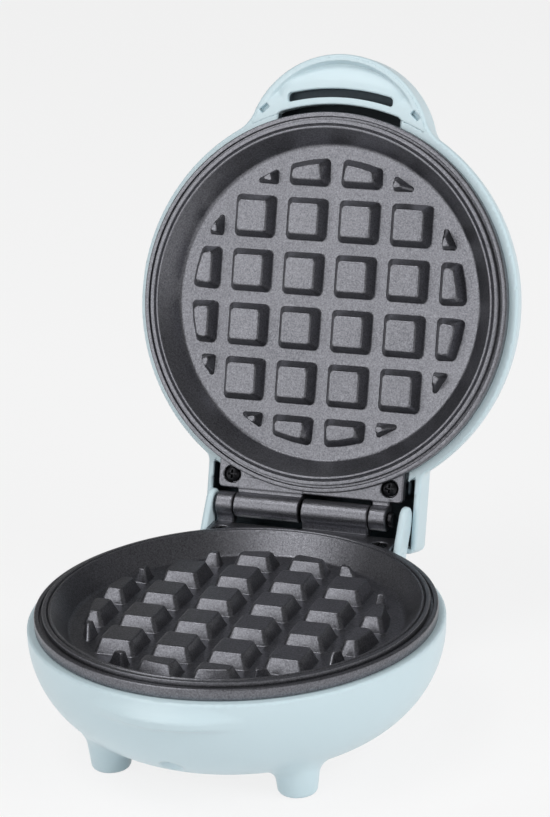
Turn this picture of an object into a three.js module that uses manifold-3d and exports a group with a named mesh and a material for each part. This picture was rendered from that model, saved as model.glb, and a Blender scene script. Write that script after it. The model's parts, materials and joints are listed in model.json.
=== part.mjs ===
// Mini waffle maker with a hinged lid, standing open.
// Millimetres, +Z up, the front faces -Y, the origin is under the middle of the whole object.
//
// Both halves are built in one plate frame: the middle of a waffle plate is the origin, its rim
// lies in the plane z = 0 and the plate faces +Z. The lower half stays so. The upper half is
// turned over about Y to face the lower one, and its group then swings open about the hinge pin.
import * as THREE from 'three';
import { mergeVertices } from 'three/addons/utils/BufferGeometryUtils.js';
import { ConvexGeometry } from 'three/addons/geometries/ConvexGeometry.js';
import Module from 'manifold-3d';

const wasm = await Module();
wasm.setup();

// Clearances
const clearance = 0.3;        // between pieces that touch
const overrun = 2;            // how far a cut runs past a face, and how deep a boss sinks in its wall
const plateGap = 0.6;         // between the two rims when the lid is shut
const knuckleGap = 1;         // between the two long knuckles

// Facets, as counts
const facets = { casing: 48, plate: 44, hidden: 28, barrel: 16, boss: 10, screw: 8, lead: 6,
  corner: 3, arc: 7, hiddenArc: 4, peg: 4 };

// Waffle plates, cast in aluminium: the rim from the inside out, then the body
const plate = {
  floorRadius: 49.5, floorDepth: 6.8, throatRadius: 54.4,
  lipWidth: 0.6, grooveWidth: 0.8, grooveDepth: 0.8, landWidth: 1.2,
  channelWidth: 0.9, channelDepth: 2.0, ringWidth: 1.5, ringDrop: 1.1, ringRound: 0.5,
  skirtDepth: 4.4, skirtWall: 1.8, rimThickness: 3.4, floorThickness: 2.7, edge: 0.15,
};
plate.lipRadius = plate.throatRadius + plate.lipWidth;
plate.landRadius = plate.lipRadius + plate.grooveWidth;
plate.channelRadius = plate.landRadius + plate.landWidth;
plate.ringRadius = plate.channelRadius + plate.channelWidth;
plate.radius = plate.ringRadius + plate.ringWidth;
plate.back = -(plate.floorDepth + plate.floorThickness);

// Waffle grid: square pegs on a pitch, trimmed by a cone
const grid = {
  pitch: 17.15, count: 6, height: 4.1, footHalf: 6.9, topHalf: 4.95, footCorner: 1.6, topCorner: 1.1,
  trimRadius: 45.4, tipRadius: 0.5, trimStep: 8,
};
grid.trimTopRadius = grid.trimRadius - (grid.footHalf - grid.topHalf);

// Hinge: a pin along X through knuckles on both plates
const hinge = {
  y: 65.4, height: 2.7, barrelRadius: 3.9, openAngle: 107.7,
  pinRadius: 1.7, pinPlay: 0.1, pinLeft: -30.1, pinRight: 28.2, pinHeadRadius: 2.4, pinHeadLength: 1.6,
  shortLeft: -29.8, shortRight: -24.1, longLeft: -1.3, longRight: 20.4, farRight: 26.3,
  webFront: 3.4, webDepth: 1.1,
};

// Rear flange of a plate, with its two screws
const flange = {
  half: 30.4, front: 40, upperBack: 60.3, lowerBack: 62.3, drop: 2.2, thickness: 3, corner: 1.5,
  screwX: 26, screwY: 56, recessRadius: 2.75, recessDepth: 2,
};

const screw = { headRadius: 2.4, headHeight: 1.3, shankRadius: 1.5, length: 12, slotWidth: 0.7,
  slotLength: 3, slotDepth: 0.7 };
const screwHole = screw.shankRadius + clearance;

// Moulded casing, shared by both halves
const casing = { wall: 2.2, seatWidth: 2.6, rimThickness: 2.4, rimEdge: 0.5 };
casing.rimDrop = plate.skirtDepth + clearance;
casing.rimInner = plate.radius - casing.seatWidth;

// Base: a bowl, a rear block that carries the hinge, two arms, four feet and a front lip
const base = { proud: 2.2, arc: 31.4, straight: 1.9 };
base.radius = plate.radius + base.proud;
base.bottom = -(casing.rimDrop + base.straight + base.arc);
const block = {
  half: 33, front: 30, back: 62.6, bottom: 36, corner: 4, chinHeight: 3.5, chinDepth: 5.6,
};
const arm = { wall: 2.3, radius: 5.2, front: 52.5, back: 58, rootTop: 7.3, rootBottom: 14 };
const foot = {
  frontX: 28.8, frontY: 31.5, rearX: 24.5, rearY: 55.5, bottom: 42.6, tipRadius: 5.6, rootRadius: 7.7,
  tipRound: 2.3, tipShare: 0.3, rootDepth: 27, padRadius: 3.4, padSeat: 1.2, padStand: 0.4,
};
const lip = { radius: 34, proud: 2.8, ridgeDrop: 1.9, bevel: 2.6, thickness: 9.6, undercut: 2.4,
  undercutShare: 0.9 };
lip.reach = base.radius + lip.proud;
const scoop = { radius: 5.7, depth: 1.3, slope: 48 };
const stop = { x: 13, width: 8, top: 6.9, bottom: 12 };

// Lid: a dome, a rear box around the hinge and a D-shaped handle
const lid = { proud: 2.6, arc: 23.4, straight: 1.6, crown: 0.8 };
lid.radius = plate.radius + lid.proud;
lid.top = -(casing.rimDrop + lid.straight + lid.arc);
const box = { wall: 2.1, front: 30, back: 76.2, depth: 20.6, edge: 8, corner: 3.6, rearEdge: 9 };
box.half = flange.half + arm.wall + 2 * clearance + box.wall;
const handle = {
  radius: 30.3, proud: 15.7, wall: 1.5, height: 9, edge: 4.6, crown: 1.6, gapHalf: 20,
};
handle.y = lid.radius + handle.proud - handle.radius;
const panel = {
  barWidth: 1.9, slotWidth: 2.7, slotInset: 13.1, recess: 2.2, floor: 1.8,
  sink: 0.5, cornerGap: 1.6, cornerLength: 6.4, cornerInset: 3.7, cornerForward: 11.2, cornerTurn: 62,
  rim: 0.8, dishWall: 0.6, bank: 1, bankSlope: 2.6,
};
panel.inner = lid.radius + clearance;
panel.slotFront = panel.inner + panel.barWidth;
panel.slotBack = panel.slotFront + panel.slotWidth;
panel.slotHalf = handle.radius - panel.slotInset;
panel.cornerX = handle.radius - panel.cornerInset;
panel.cornerY = handle.y + panel.cornerForward;
const panelRest = { radius: 1.8, spread: 48, ring: 25.5, count: 2 };
const rib = { wall: 1.1, front: 50.6, back: 57.6 };

// Heater element, its channel ribs and the reflector under it
const heater = {
  ring: 36, radius: 3.1, legX: 8, legEnd: 49, bendY: 41, openHalf: 18, pinRadius: 1.2, pinLength: 5,
  sides: 8, steps: 34, ribWidth: 1.2, ribHeight: 3.2, ribGapHalf: 14.5, turnSteps: 24,
};
heater.z = plate.back - clearance - heater.radius;
const shield = {
  radius: 44.5, floorRadius: 42.5, depth: 8.7, thickness: 0.8, rimHeight: 1.6, lowerHole: 9, upperHole: 18.5,
  bossRing: 22, bossRadius: 3, firstBoss: 90, bosses: 3,
};
shield.top = plate.back - shield.depth;
shield.bottom = shield.top - shield.thickness;
const shieldScrew = { headRadius: 2.6, headHeight: 1.4, shankRadius: 1.3, length: 6.5, slotWidth: 0.6,
  slotLength: 3, slotDepth: 0.6 };
const shieldScrewHole = shieldScrew.shankRadius + clearance;

// Hooks that hold the front of each plate under a ledge of its casing
const hook = { angle: 42, width: 9, postInner: 51.6, postOuter: 54.2, toe: 57.4, toeHeight: 1.8,
  depth: 12.6, ledgeInner: 55.2, ledgeHeight: 2 };

// Thermostat, thermal fuse and indicator lamp in the lid
const thermostat = {
  radius: 8, height: 8, tabWidth: 3, tabThickness: 0.8, tabLength: 5, tabGap: 8, bossX: 14,
  strapWidth: 9, strapThickness: 1, strapHoleX: 13, strapHoleY: 4,
};
thermostat.top = plate.back - clearance;
thermostat.bottom = thermostat.top - thermostat.height;
const fuse = { radius: 2.2, length: 14, y: -31, clipWidth: 6, clipWall: 0.8, clipFoot: 4 };
fuse.z = shield.bottom - clearance - fuse.radius;
const lamp = { y: -18, lensRadius: 4, flangeRadius: 6, flangeHeight: 1.2, stand: 0.6, cupHeight: 4,
  cupWall: 1.1, bulbLength: 5 };

// Cord inlet at the back of the base, with the clamp and the terminal block behind it
const inlet = { z: 22.6, hole: 5, bore: 3.2, flange: 6.6, flangeWidth: 1.6, sleeve: 3 };
const clamp = { y: 53, half: 12.4, width: 6, thickness: 2.5, screwX: 8.6, bossRadius: 3 };
const terminals = { half: 13, y: 22, width: 11, height: 9, doorRadius: 1.6, doorDepth: 3.7,
  screwDrop: 1.5, doors: 3, doorPitch: 7.6 };
const lead = { radius: 1.1, steps: 12 };

// Colours and finish of each material
const finish = {
  plastic: { color: 0xcde1e8, roughness: 0.28, metalness: 0 },
  nonstick: { color: 0x4d4b52, roughness: 0.5, metalness: 0.35 },
  steel: { color: 0xb9bcbe, roughness: 0.3, metalness: 1 },
  blackSteel: { color: 0x1b1b1d, roughness: 0.4, metalness: 0.8 },
  aluminium: { color: 0xc9ccd0, roughness: 0.35, metalness: 1 },
  sheath: { color: 0x9b9da0, roughness: 0.45, metalness: 0.9 },
  rubber: { color: 0xbfd2d8, roughness: 0.85, metalness: 0 },
  phenolic: { color: 0x2b2522, roughness: 0.6, metalness: 0 },
  ceramic: { color: 0xe8e4da, roughness: 0.5, metalness: 0 },
  lens: { color: 0x3f7fd0, roughness: 0.15, metalness: 0, transparent: true, opacity: 0.75 },
  glass: { color: 0xe9c9a8, roughness: 0.1, metalness: 0, transparent: true, opacity: 0.6 },
  sleeve: { color: 0xe3ddd0, roughness: 0.9, metalness: 0 },
};

// Solids from three.js geometry
const degrees = Math.PI / 180;
const quarter = Math.PI / 2;

function solid(geometry) {
  const bare = geometry.clone();
  for (const name of Object.keys(bare.attributes)) {
    if (name !== 'position') bare.deleteAttribute(name);
  }
  const merged = mergeVertices(bare, 1e-4);
  const index = merged.index.array;
  const triangles = [];
  for (let i = 0; i < index.length; i += 3) {
    const [a, b, c] = [index[i], index[i + 1], index[i + 2]];
    if (a !== b && b !== c && c !== a) triangles.push(a, b, c);
  }
  const build = (list) => new wasm.Manifold(new wasm.Mesh({
    numProp: 3,
    vertProperties: new Float32Array(merged.attributes.position.array),
    triVerts: new Uint32Array(list),
  }));
  const made = build(triangles);
  return made.volume() < 0 ? build(triangles.reverse()) : made;
}

const joined = (...parts) => parts.reduce((sum, part) => sum.add(part));
const cut = (body, ...tools) => tools.reduce((rest, tool) => rest.subtract(tool), body);
const common = (...parts) => parts.reduce((sum, part) => sum.intersect(part));

// A body turned about Z from points [radius, z]
function turned(points, segments = facets.casing) {
  const profile = points.map(([radius, z]) => new THREE.Vector2(radius, z));
  return solid(new THREE.LatheGeometry(profile, segments).rotateX(quarter));
}

// A ring turned about Z: the profile closes on itself
const ring = (points, segments) => turned([...points, points[0]], segments);

function extruded(points, depth) {
  const shape = new THREE.Shape(points.map(([x, y]) => new THREE.Vector2(x, y)));
  return new THREE.ExtrudeGeometry(shape, { depth, bevelEnabled: false });
}

// Prisms along Z from [x, y], along X from [y, z] and along Y from [x, z]
const prismZ = (points, bottom, top) => solid(extruded(points, top - bottom).translate(0, 0, bottom));

function prismX(points, left, right) {
  const basis = new THREE.Matrix4().makeBasis(
    new THREE.Vector3(0, 1, 0), new THREE.Vector3(0, 0, 1), new THREE.Vector3(1, 0, 0));
  return solid(extruded(points, right - left).applyMatrix4(basis).translate(left, 0, 0));
}

function prismY(points, front, back) {
  return solid(extruded(points, back - front).rotateX(quarter).translate(0, back, 0));
}

function cuboid(left, right, front, back, bottom, top) {
  const body = new THREE.BoxGeometry(right - left, back - front, top - bottom);
  return solid(body.translate((left + right) / 2, (front + back) / 2, (bottom + top) / 2));
}

// A round bar between two points
function bar(from, to, radius, sides = facets.boss) {
  const start = new THREE.Vector3(...from);
  const end = new THREE.Vector3(...to);
  const body = new THREE.CylinderGeometry(radius, radius, start.distanceTo(end), sides);
  const turn = new THREE.Quaternion().setFromUnitVectors(
    new THREE.Vector3(0, 1, 0), end.clone().sub(start).normalize());
  const middle = start.clone().add(end).multiplyScalar(0.5);
  return solid(body.applyQuaternion(turn).translate(...middle.toArray()));
}

// An upright round bar
const post = (x, y, bottom, top, radius, sides) => bar([x, y, bottom], [x, y, top], radius, sides);

// Points on an arc, angles in degrees
function arc(x, y, radius, from, to, steps = facets.arc) {
  return Array.from({ length: steps + 1 }, (_, i) => {
    const angle = (from + (to - from) * i / steps) * degrees;
    return [x + radius * Math.cos(angle), y + radius * Math.sin(angle)];
  });
}

// A rectangle with round corners; a corner radius of 0 keeps that corner sharp
function roundedBox(left, right, front, back, radii, steps = facets.corner) {
  const [backRight, backLeft, frontLeft, frontRight] = radii;
  const corner = (x, y, radius, from) => radius ? arc(x, y, radius, from, from + 90, steps) : [[x, y]];
  return [
    ...corner(right - backRight, back - backRight, backRight, 0),
    ...corner(left + backLeft, back - backLeft, backLeft, 90),
    ...corner(left + frontLeft, front + frontLeft, frontLeft, 180),
    ...corner(right - frontRight, front + frontRight, frontRight, 270),
  ];
}

// A round tube along a curve through points
function tube(points, radius, sides, steps) {
  const path = new THREE.CatmullRomCurve3(points.map((p) => new THREE.Vector3(...p)), false, 'centripetal');
  const section = new THREE.Shape(arc(0, 0, radius, 0, 360, sides).slice(0, -1)
    .map(([x, y]) => new THREE.Vector2(x, y)));
  return solid(new THREE.ExtrudeGeometry(section, { steps, extrudePath: path, bevelEnabled: false }));
}

const mirroredX = (points) => points.map(([x, ...rest]) => [-x, ...rest]);

// A named mesh with a material of its own
function piece(name, body, look, position = [0, 0, 0]) {
  const { vertProperties, triVerts } = body.getMesh();
  const indexed = new THREE.BufferGeometry();
  indexed.setAttribute('position', new THREE.BufferAttribute(vertProperties.slice(), 3));
  indexed.setIndex(new THREE.BufferAttribute(triVerts.slice(), 1));
  const geometry = indexed.toNonIndexed();
  geometry.computeVertexNormals();
  const mesh = new THREE.Mesh(geometry, new THREE.MeshStandardMaterial(finish[look]));
  mesh.name = name;
  mesh.position.set(...position);
  return mesh;
}

// Screws: the underside of the head lies at z = 0
function screwBody({ headRadius, headHeight, shankRadius, length, slotWidth, slotLength, slotDepth }) {
  const body = turned([
    [0, -length], [shankRadius, -length], [shankRadius, 0], [headRadius, 0],
    [headRadius, headHeight / 2], [headRadius - headHeight / 2, headHeight], [0, headHeight],
  ], facets.screw);
  const [half, reach] = [slotWidth / 2, slotLength / 2];
  const floor = headHeight - slotDepth;
  return cut(body,
    cuboid(-reach, reach, -half, half, floor, headHeight + overrun),
    cuboid(-half, half, -reach, reach, floor, headHeight + overrun));
}

// Waffle grid: the corners of a square that is trimmed by a circle round the plate's middle
function trimmedSquare(x, y, half, radius) {
  const inside = ([px, py]) => Math.hypot(px, py) <= radius;
  const [left, right, front, back] = [x - half, x + half, y - half, y + half];
  const corners = [[left, front], [right, front], [right, back], [left, back]].filter(inside);
  const across = (side) => Math.sqrt(Math.max(radius ** 2 - side ** 2, 0));
  const crossings = [
    ...[left, right].flatMap((px) => [[px, across(px)], [px, -across(px)]]),
    ...[front, back].flatMap((py) => [[across(py), py], [-across(py), py]]),
  ].filter(([px, py]) => px >= left && px <= right && py >= front && py <= back);
  const round = crossings.length < 2 ? [] : arc(0, 0, radius, 0, 360, 360 / grid.trimStep)
    .filter(([px, py]) => px > left && px < right && py > front && py < back);
  return [...corners, ...crossings, ...round];
}

function peg(x, y) {
  const level = (z, half, corner, radius) => trimmedSquare(x, y, half - corner, radius - corner)
    .flatMap(([px, py]) => arc(px, py, corner, 0, 360, facets.peg)
      .map(([rx, ry]) => new THREE.Vector3(rx, ry, z)));
  const floor = -plate.floorDepth;
  const top = floor + grid.height;
  const root = level(floor - plate.floorThickness / 2, grid.footHalf, grid.footCorner, grid.trimRadius);
  const foot = level(floor, grid.footHalf, grid.footCorner, grid.trimRadius);
  const crest = level(top, grid.topHalf, grid.topCorner, grid.trimTopRadius);
  if (crest.length === 0) {
    const middle = foot.reduce((sum, point) => sum.add(point), new THREE.Vector3())
      .divideScalar(foot.length);
    crest.push(...arc(middle.x, middle.y, grid.tipRadius, 0, 360, facets.peg)
      .map(([rx, ry]) => new THREE.Vector3(rx, ry, top)));
  }
  return solid(new ConvexGeometry([...root, ...foot, ...crest]));
}

function waffleGrid() {
  const middle = (grid.count - 1) / 2;
  const pegs = [];
  for (let column = 0; column < grid.count; column += 1) {
    for (let row = 0; row < grid.count; row += 1) {
      const [x, y] = [(column - middle) * grid.pitch, (row - middle) * grid.pitch];
      const nearest = Math.hypot(Math.abs(x) - grid.footHalf, Math.abs(y) - grid.footHalf);
      if (nearest < grid.trimRadius - grid.footCorner) pegs.push(peg(x, y));
    }
  }
  return joined(...pegs);
}

// One side of the hinge: a barrel and the web that ties it to the flange
function knuckle(left, right, height, back) {
  const top = -flange.drop;
  const bottom = top - flange.thickness;
  const radius = hinge.barrelRadius;
  const sign = height > (top + bottom) / 2 ? 1 : -1;
  const low = sign > 0 ? bottom : top;
  const high = sign > 0 ? top : bottom;
  const web = prismX([
    [back - hinge.webFront, low], [back + hinge.webDepth, low],
    [hinge.y + radius * Math.SQRT1_2, height - sign * radius * Math.SQRT1_2], [hinge.y, height],
    [Math.min(hinge.y - radius, back), height], [back - hinge.webDepth, high],
    [back - hinge.webFront, high],
  ], left, right);
  return joined(bar([left, hinge.y, height], [right, hinge.y, height], radius, facets.barrel), web);
}

// Boxes on a circle about Z: radii, heights, width and compass angle from the front
function polarBox(inner, outer, bottom, top, width, angle) {
  const body = cuboid(-width / 2, width / 2, -outer, -inner, bottom, top);
  return body.rotate([0, 0, angle]);
}

function wafflePlate(knuckles, knuckleHeight, flangeBack) {
  const { edge, throatRadius, lipRadius, landRadius, channelRadius, ringRadius, radius } = plate;
  const back = plate.back;
  const underRim = -plate.rimThickness;
  const coneWall = plate.floorThickness;
  const body = turned([
    [0, -plate.floorDepth], [plate.floorRadius, -plate.floorDepth],
    [throatRadius - edge, -edge], [throatRadius + edge, 0], [lipRadius - edge, 0],
    [lipRadius + plate.grooveWidth / 2, -plate.grooveDepth], [landRadius + edge, 0],
    [channelRadius - edge, 0], [channelRadius + edge, -plate.channelDepth],
    [ringRadius - edge, -plate.channelDepth], [ringRadius + edge, -plate.ringDrop],
    [radius - plate.ringRound, -plate.ringDrop], [radius, -plate.ringDrop - plate.ringRound],
    [radius, edge - plate.skirtDepth], [radius - edge, -plate.skirtDepth],
    [radius - plate.skirtWall, -plate.skirtDepth], [radius - plate.skirtWall, underRim],
    [throatRadius + plate.lipWidth, underRim], [plate.floorRadius + coneWall / 2, back + edge],
    [plate.floorRadius, back], [0, back],
  ], facets.plate);

  const flangeTop = -flange.drop;
  const flangeBottom = flangeTop - flange.thickness;
  const { half, corner } = flange;
  const outside = turned([
    [0, back], [throatRadius + plate.lipWidth, back], [radius, underRim], [radius, overrun],
    [0, overrun],
  ], facets.plate);
  const tongue = cut(prismZ(roundedBox(-half, half, flange.front, flangeBack, [corner, corner, 0, 0]),
    flangeBottom, flangeTop), outside);

  const ribTop = back + plate.edge;
  const ribs = [-1, 1].map((side) => {
    const near = heater.ring + side * (heater.radius + clearance);
    const far = near + side * heater.ribWidth;
    return ring([[near, ribTop], [far, ribTop], [far, back - heater.ribHeight],
      [near, back - heater.ribHeight]], facets.hidden);
  });
  const legGap = cuboid(-heater.ribGapHalf, heater.ribGapHalf, 0, plate.radius,
    back - heater.ribHeight - overrun, back - clearance / 2);
  const shieldBosses = shieldPlaces.map(([x, y]) =>
    post(x, y, shield.top + clearance, back + plate.edge, shield.bossRadius));
  const hooks = [-hook.angle, hook.angle].map((angle) => joined(
    polarBox(hook.postInner, hook.postOuter, -hook.depth, back + plate.floorThickness, hook.width, angle),
    polarBox(hook.postInner, hook.toe, -hook.depth, hook.toeHeight - hook.depth, hook.width, angle)));
  const barrels = knuckles.map(([left, right]) => knuckle(left, right, knuckleHeight, flangeBack));
  const ribbed = cut(joined(...ribs), legGap);
  const casting = joined(body, waffleGrid(), tongue, ribbed, ...shieldBosses, ...hooks, ...barrels);

  const screwHoles = [-flange.screwX, flange.screwX].flatMap((x) => [
    post(x, flange.screwY, flangeTop - flange.recessDepth, flangeTop + overrun, flange.recessRadius),
    post(x, flange.screwY, flangeBottom - overrun, flangeTop, screwHole),
  ]);
  const bossHoles = shieldPlaces.map(([x, y]) =>
    post(x, y, shield.top - overrun, shield.top + shieldScrew.length, shieldScrewHole));
  const pinBore = bar([-half - overrun, hinge.y, knuckleHeight], [half + overrun, hinge.y, knuckleHeight],
    hinge.pinRadius + hinge.pinPlay, facets.barrel);
  return cut(casting, ...screwHoles, ...bossHoles, pinBore);
}

const shieldPlaces = arc(0, 0, shield.bossRing, shield.firstBoss, shield.firstBoss + 360, shield.bosses)
  .slice(0, -1);

// The upper plate also carries the thermostat between two bosses
function upperWafflePlate(...hingeSide) {
  const places = [-thermostat.bossX, thermostat.bossX];
  const low = thermostat.bottom + clearance;
  const bosses = places.map((x) => post(x, 0, low, plate.back + plate.edge, shield.bossRadius));
  const holes = places.map((x) =>
    post(x, 0, low - overrun, low + shieldScrew.length, shieldScrewHole));
  return cut(joined(wafflePlate(...hingeSide), ...bosses), ...holes);
}

function heaterElement() {
  const { ring: size, legX, legEnd, bendY, openHalf, z } = heater;
  const turnSteps = heater.turnSteps;
  const around = arc(0, 0, size, 90 + openHalf, 450 - openHalf, turnSteps).map(([x, y]) => [x, y, z]);
  const leg = [[-legX, legEnd, z], [-legX, (legEnd + bendY) / 2, z], [-legX, bendY, z]];
  const path = [...leg, ...around, ...mirroredX(leg).reverse()];
  const body = tube(path, heater.radius, heater.sides, heater.steps);
  const pins = [-legX, legX].map((x) =>
    bar([x, legEnd - overrun, z], [x, legEnd + heater.pinLength, z], heater.pinRadius, facets.lead));
  return joined(body, ...pins);
}

function heatShield(hole) {
  const { radius, floorRadius, rimHeight, thickness, top, bottom } = shield;
  const dish = ring([
    [hole, bottom], [floorRadius, bottom], [radius, top + rimHeight],
    [radius - thickness, top + rimHeight], [floorRadius - thickness, top], [hole, top],
  ], facets.hidden);
  const holes = shieldPlaces.map(([x, y]) =>
    post(x, y, bottom - overrun, top + overrun, shieldScrewHole));
  return cut(dish, ...holes);
}

// A bowl: flat or slightly crowned bottom, an arc and a short straight wall up to the rim
function bowl({ radius, arc: size, straight, crown = 0 }, inset, top) {
  const turnZ = -casing.rimDrop - straight;
  const steps = inset ? facets.hiddenArc : facets.arc;
  const sweep = arc(radius - size, turnZ, size - inset, 270, 360, steps);
  return turned([[0, turnZ - size + inset - crown], ...sweep, [radius - inset, top], [0, top]],
    inset ? facets.hidden : facets.casing);
}

// The face that a plate's skirt rests on
function rimLedge(radius) {
  const top = -casing.rimDrop;
  const bottom = top - casing.rimThickness;
  return ring([[casing.rimInner, bottom], [radius - casing.wall / 2, bottom - casing.wall],
    [radius - casing.wall / 2, top], [casing.rimInner, top]]);
}

const hookLedges = (radius) => [-hook.angle, hook.angle].map((angle) => polarBox(
  hook.ledgeInner, radius - casing.wall / 2, hook.toeHeight - hook.depth + clearance,
  hook.toeHeight - hook.depth + clearance + hook.ledgeHeight, hook.width, angle));

// Places of the feet, front pair first
const footPlaces = {
  front_left: [-foot.frontX, -foot.frontY], front_right: [foot.frontX, -foot.frontY],
  rear_left: [-foot.rearX, foot.rearY], rear_right: [foot.rearX, foot.rearY],
};

function footBody(x, y) {
  const { bottom, tipRadius, rootRadius, tipRound, tipShare, rootDepth } = foot;
  return turned([
    [0, -bottom], [tipRadius - tipRound, -bottom],
    [tipRadius - tipRound * tipShare, tipRound * tipShare - bottom],
    [tipRadius, tipRound - bottom], [rootRadius, -rootDepth], [0, -rootDepth],
  ], facets.barrel).translate([x, y, 0]);
}

// The outline of a rear block or box from the side, as [y, z], with its lower back corner rounded
function sideProfile(front, back, top, bottom, edge) {
  return [[front, top], [front, bottom],
    ...arc(back - edge, bottom + edge, edge, 270, 360, facets.corner), [back, top]];
}

// Rear block of the base, inset for its hollow
function rearBlock(inset, top) {
  const half = block.half - inset;
  const back = block.back - inset;
  const corner = block.corner - inset;
  const bottom = inset - block.bottom;
  const plan = prismZ(roundedBox(-half, half, block.front, back, [corner, corner, 0, 0]), bottom, top);
  const side = prismX([
    [block.front, top], [block.front, bottom], [back - block.chinDepth, bottom],
    [back, bottom + block.chinHeight], [back, top],
  ], -half, half);
  return common(plan, side);
}

function hingeArm(left) {
  const inner = flange.half + clearance;
  const [from, to] = left ? [-inner - arm.wall, -inner] : [inner, inner + arm.wall];
  const eye = arc(hinge.y, hinge.height, arm.radius, 0, 360, facets.barrel);
  const root = [[arm.front, -arm.rootTop], [arm.front, -arm.rootBottom], [arm.back, -arm.rootBottom],
    [arm.back, -arm.rootTop]];
  const points = [...eye, ...root].flatMap(([y, z]) =>
    [new THREE.Vector3(from, y, z), new THREE.Vector3(to, y, z)]);
  return solid(new ConvexGeometry(points));
}

function frontLip() {
  const { radius, reach, ridgeDrop, bevel, thickness, undercut, undercutShare } = lip;
  const top = -casing.rimDrop;
  return turned([
    [0, top - thickness], [radius - undercut - bevel, top - thickness],
    [radius - bevel / 2, top - thickness * undercutShare], [radius, top - ridgeDrop - bevel / 2],
    [radius - bevel / 4, top - ridgeDrop], [radius - bevel, top - casing.rimEdge], [0, top - casing.rimEdge],
  ]).translate([0, radius - reach, 0]);
}

// A shallow hollow in the lower front of the bowl, square to its surface
function frontScoop() {
  const slope = scoop.slope * degrees;
  const turnZ = -casing.rimDrop - base.straight;
  const at = (reach) => [0, -(base.radius - base.arc + reach * Math.cos(slope)),
    turnZ - reach * Math.sin(slope)];
  return bar(at(base.arc - scoop.depth), at(base.arc + overrun), scoop.radius);
}

// The gland passes through the rear wall of the block
const inletAxis = (from, to, radius, sides) => bar([0, from, -inlet.z], [0, to, -inlet.z], radius, sides);

function baseShell() {
  const rim = -casing.rimDrop;
  const seat = -flange.drop - flange.thickness - clearance;
  const feet = Object.values(footPlaces).map(([x, y]) => footBody(x, y));
  const stops = [-stop.x, stop.x].map((x) => cuboid(x - stop.width / 2, x + stop.width / 2,
    block.back - overrun, lidStopY - clearance, -stop.bottom, -stop.top));
  const outside = joined(bowl(base, 0, rim), rearBlock(0, seat), frontLip(), ...feet, ...stops);
  const hollow = joined(bowl(base, casing.wall, rim + overrun), rearBlock(casing.wall, seat + overrun));
  const flangeRoom = cuboid(-flange.half - clearance, flange.half + clearance, flange.front,
    block.back + overrun, seat, rim + overrun);
  const floor = casing.wall - block.bottom;
  const plateBosses = [-flange.screwX, flange.screwX].map((x) =>
    post(x, flange.screwY, floor - casing.wall / 2, seat, screwHole + casing.wall));
  const clampBosses = [-clamp.screwX, clamp.screwX].map((x) =>
    post(x, clamp.y, floor - casing.wall / 2, clampSeat, clamp.bossRadius));
  const shell = cut(joined(cut(outside, hollow), rimLedge(base.radius), ...hookLedges(base.radius),
    ...plateBosses, ...clampBosses), flangeRoom);
  const arms = [hingeArm(true), hingeArm(false)];
  const plateHoles = [-flange.screwX, flange.screwX].map((x) =>
    post(x, flange.screwY, seat - screw.length, seat + overrun, screwHole));
  const clampHoles = [-clamp.screwX, clamp.screwX].map((x) =>
    post(x, clamp.y, clampSeat - shieldScrew.length, clampSeat + overrun, shieldScrewHole));
  const padSeats = Object.values(footPlaces).map(([x, y]) =>
    post(x, y, -foot.bottom - overrun, foot.padSeat - foot.bottom, foot.padRadius, facets.barrel));
  const inletHole = inletAxis(block.back - casing.wall - overrun, block.back + overrun, inlet.hole,
    facets.barrel);
  return cut(joined(shell, ...arms), ...plateHoles, ...clampHoles, ...padSeats, inletHole, frontScoop());
}

// Where the lower back edge of the lid comes to rest against the base when the lid is open
const lidStopY = (() => {
  const angle = hinge.openAngle * degrees;
  const dy = box.back - hinge.y;
  const dz = plateGap + casing.rimDrop - hinge.height;
  return hinge.y + dy * Math.cos(angle) + dz * Math.sin(angle);
})();

const clampSeat = inlet.bore - inlet.z;

// Rear box of the lid around the hinge, inset for its hollow
function rearBox(inset, top) {
  const half = box.half - inset;
  const back = box.back - inset;
  const corner = box.corner - inset;
  const edge = box.edge - inset;
  const bottom = inset - box.depth;
  const plan = prismZ(roundedBox(-half, half, box.front, back, [corner, corner, 0, 0]), bottom, top);
  const side = prismX(sideProfile(box.front, back, top, bottom, box.rearEdge - inset), -half, half);
  const across = prismY([
    ...arc(-half + edge, bottom + edge, edge, 180, 270, facets.corner),
    ...arc(half - edge, bottom + edge, edge, 270, 360, facets.corner), [half, top], [-half, top],
  ], box.front, back);
  return common(plan, side, across);
}

// Body of the handle: a low round puck with rounded top edges, inset for its hollow
function handleBody(inset, top) {
  const { radius, y, height, edge, crown } = handle;
  const turnZ = -casing.rimDrop - height;
  const size = edge - inset;
  return turned([[0, turnZ - edge - crown + inset],
    ...arc(radius - edge, turnZ, size, 270, 360, facets.corner), [radius - inset, top], [0, top],
  ], facets.casing).translate([0, -y, 0]);
}

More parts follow.
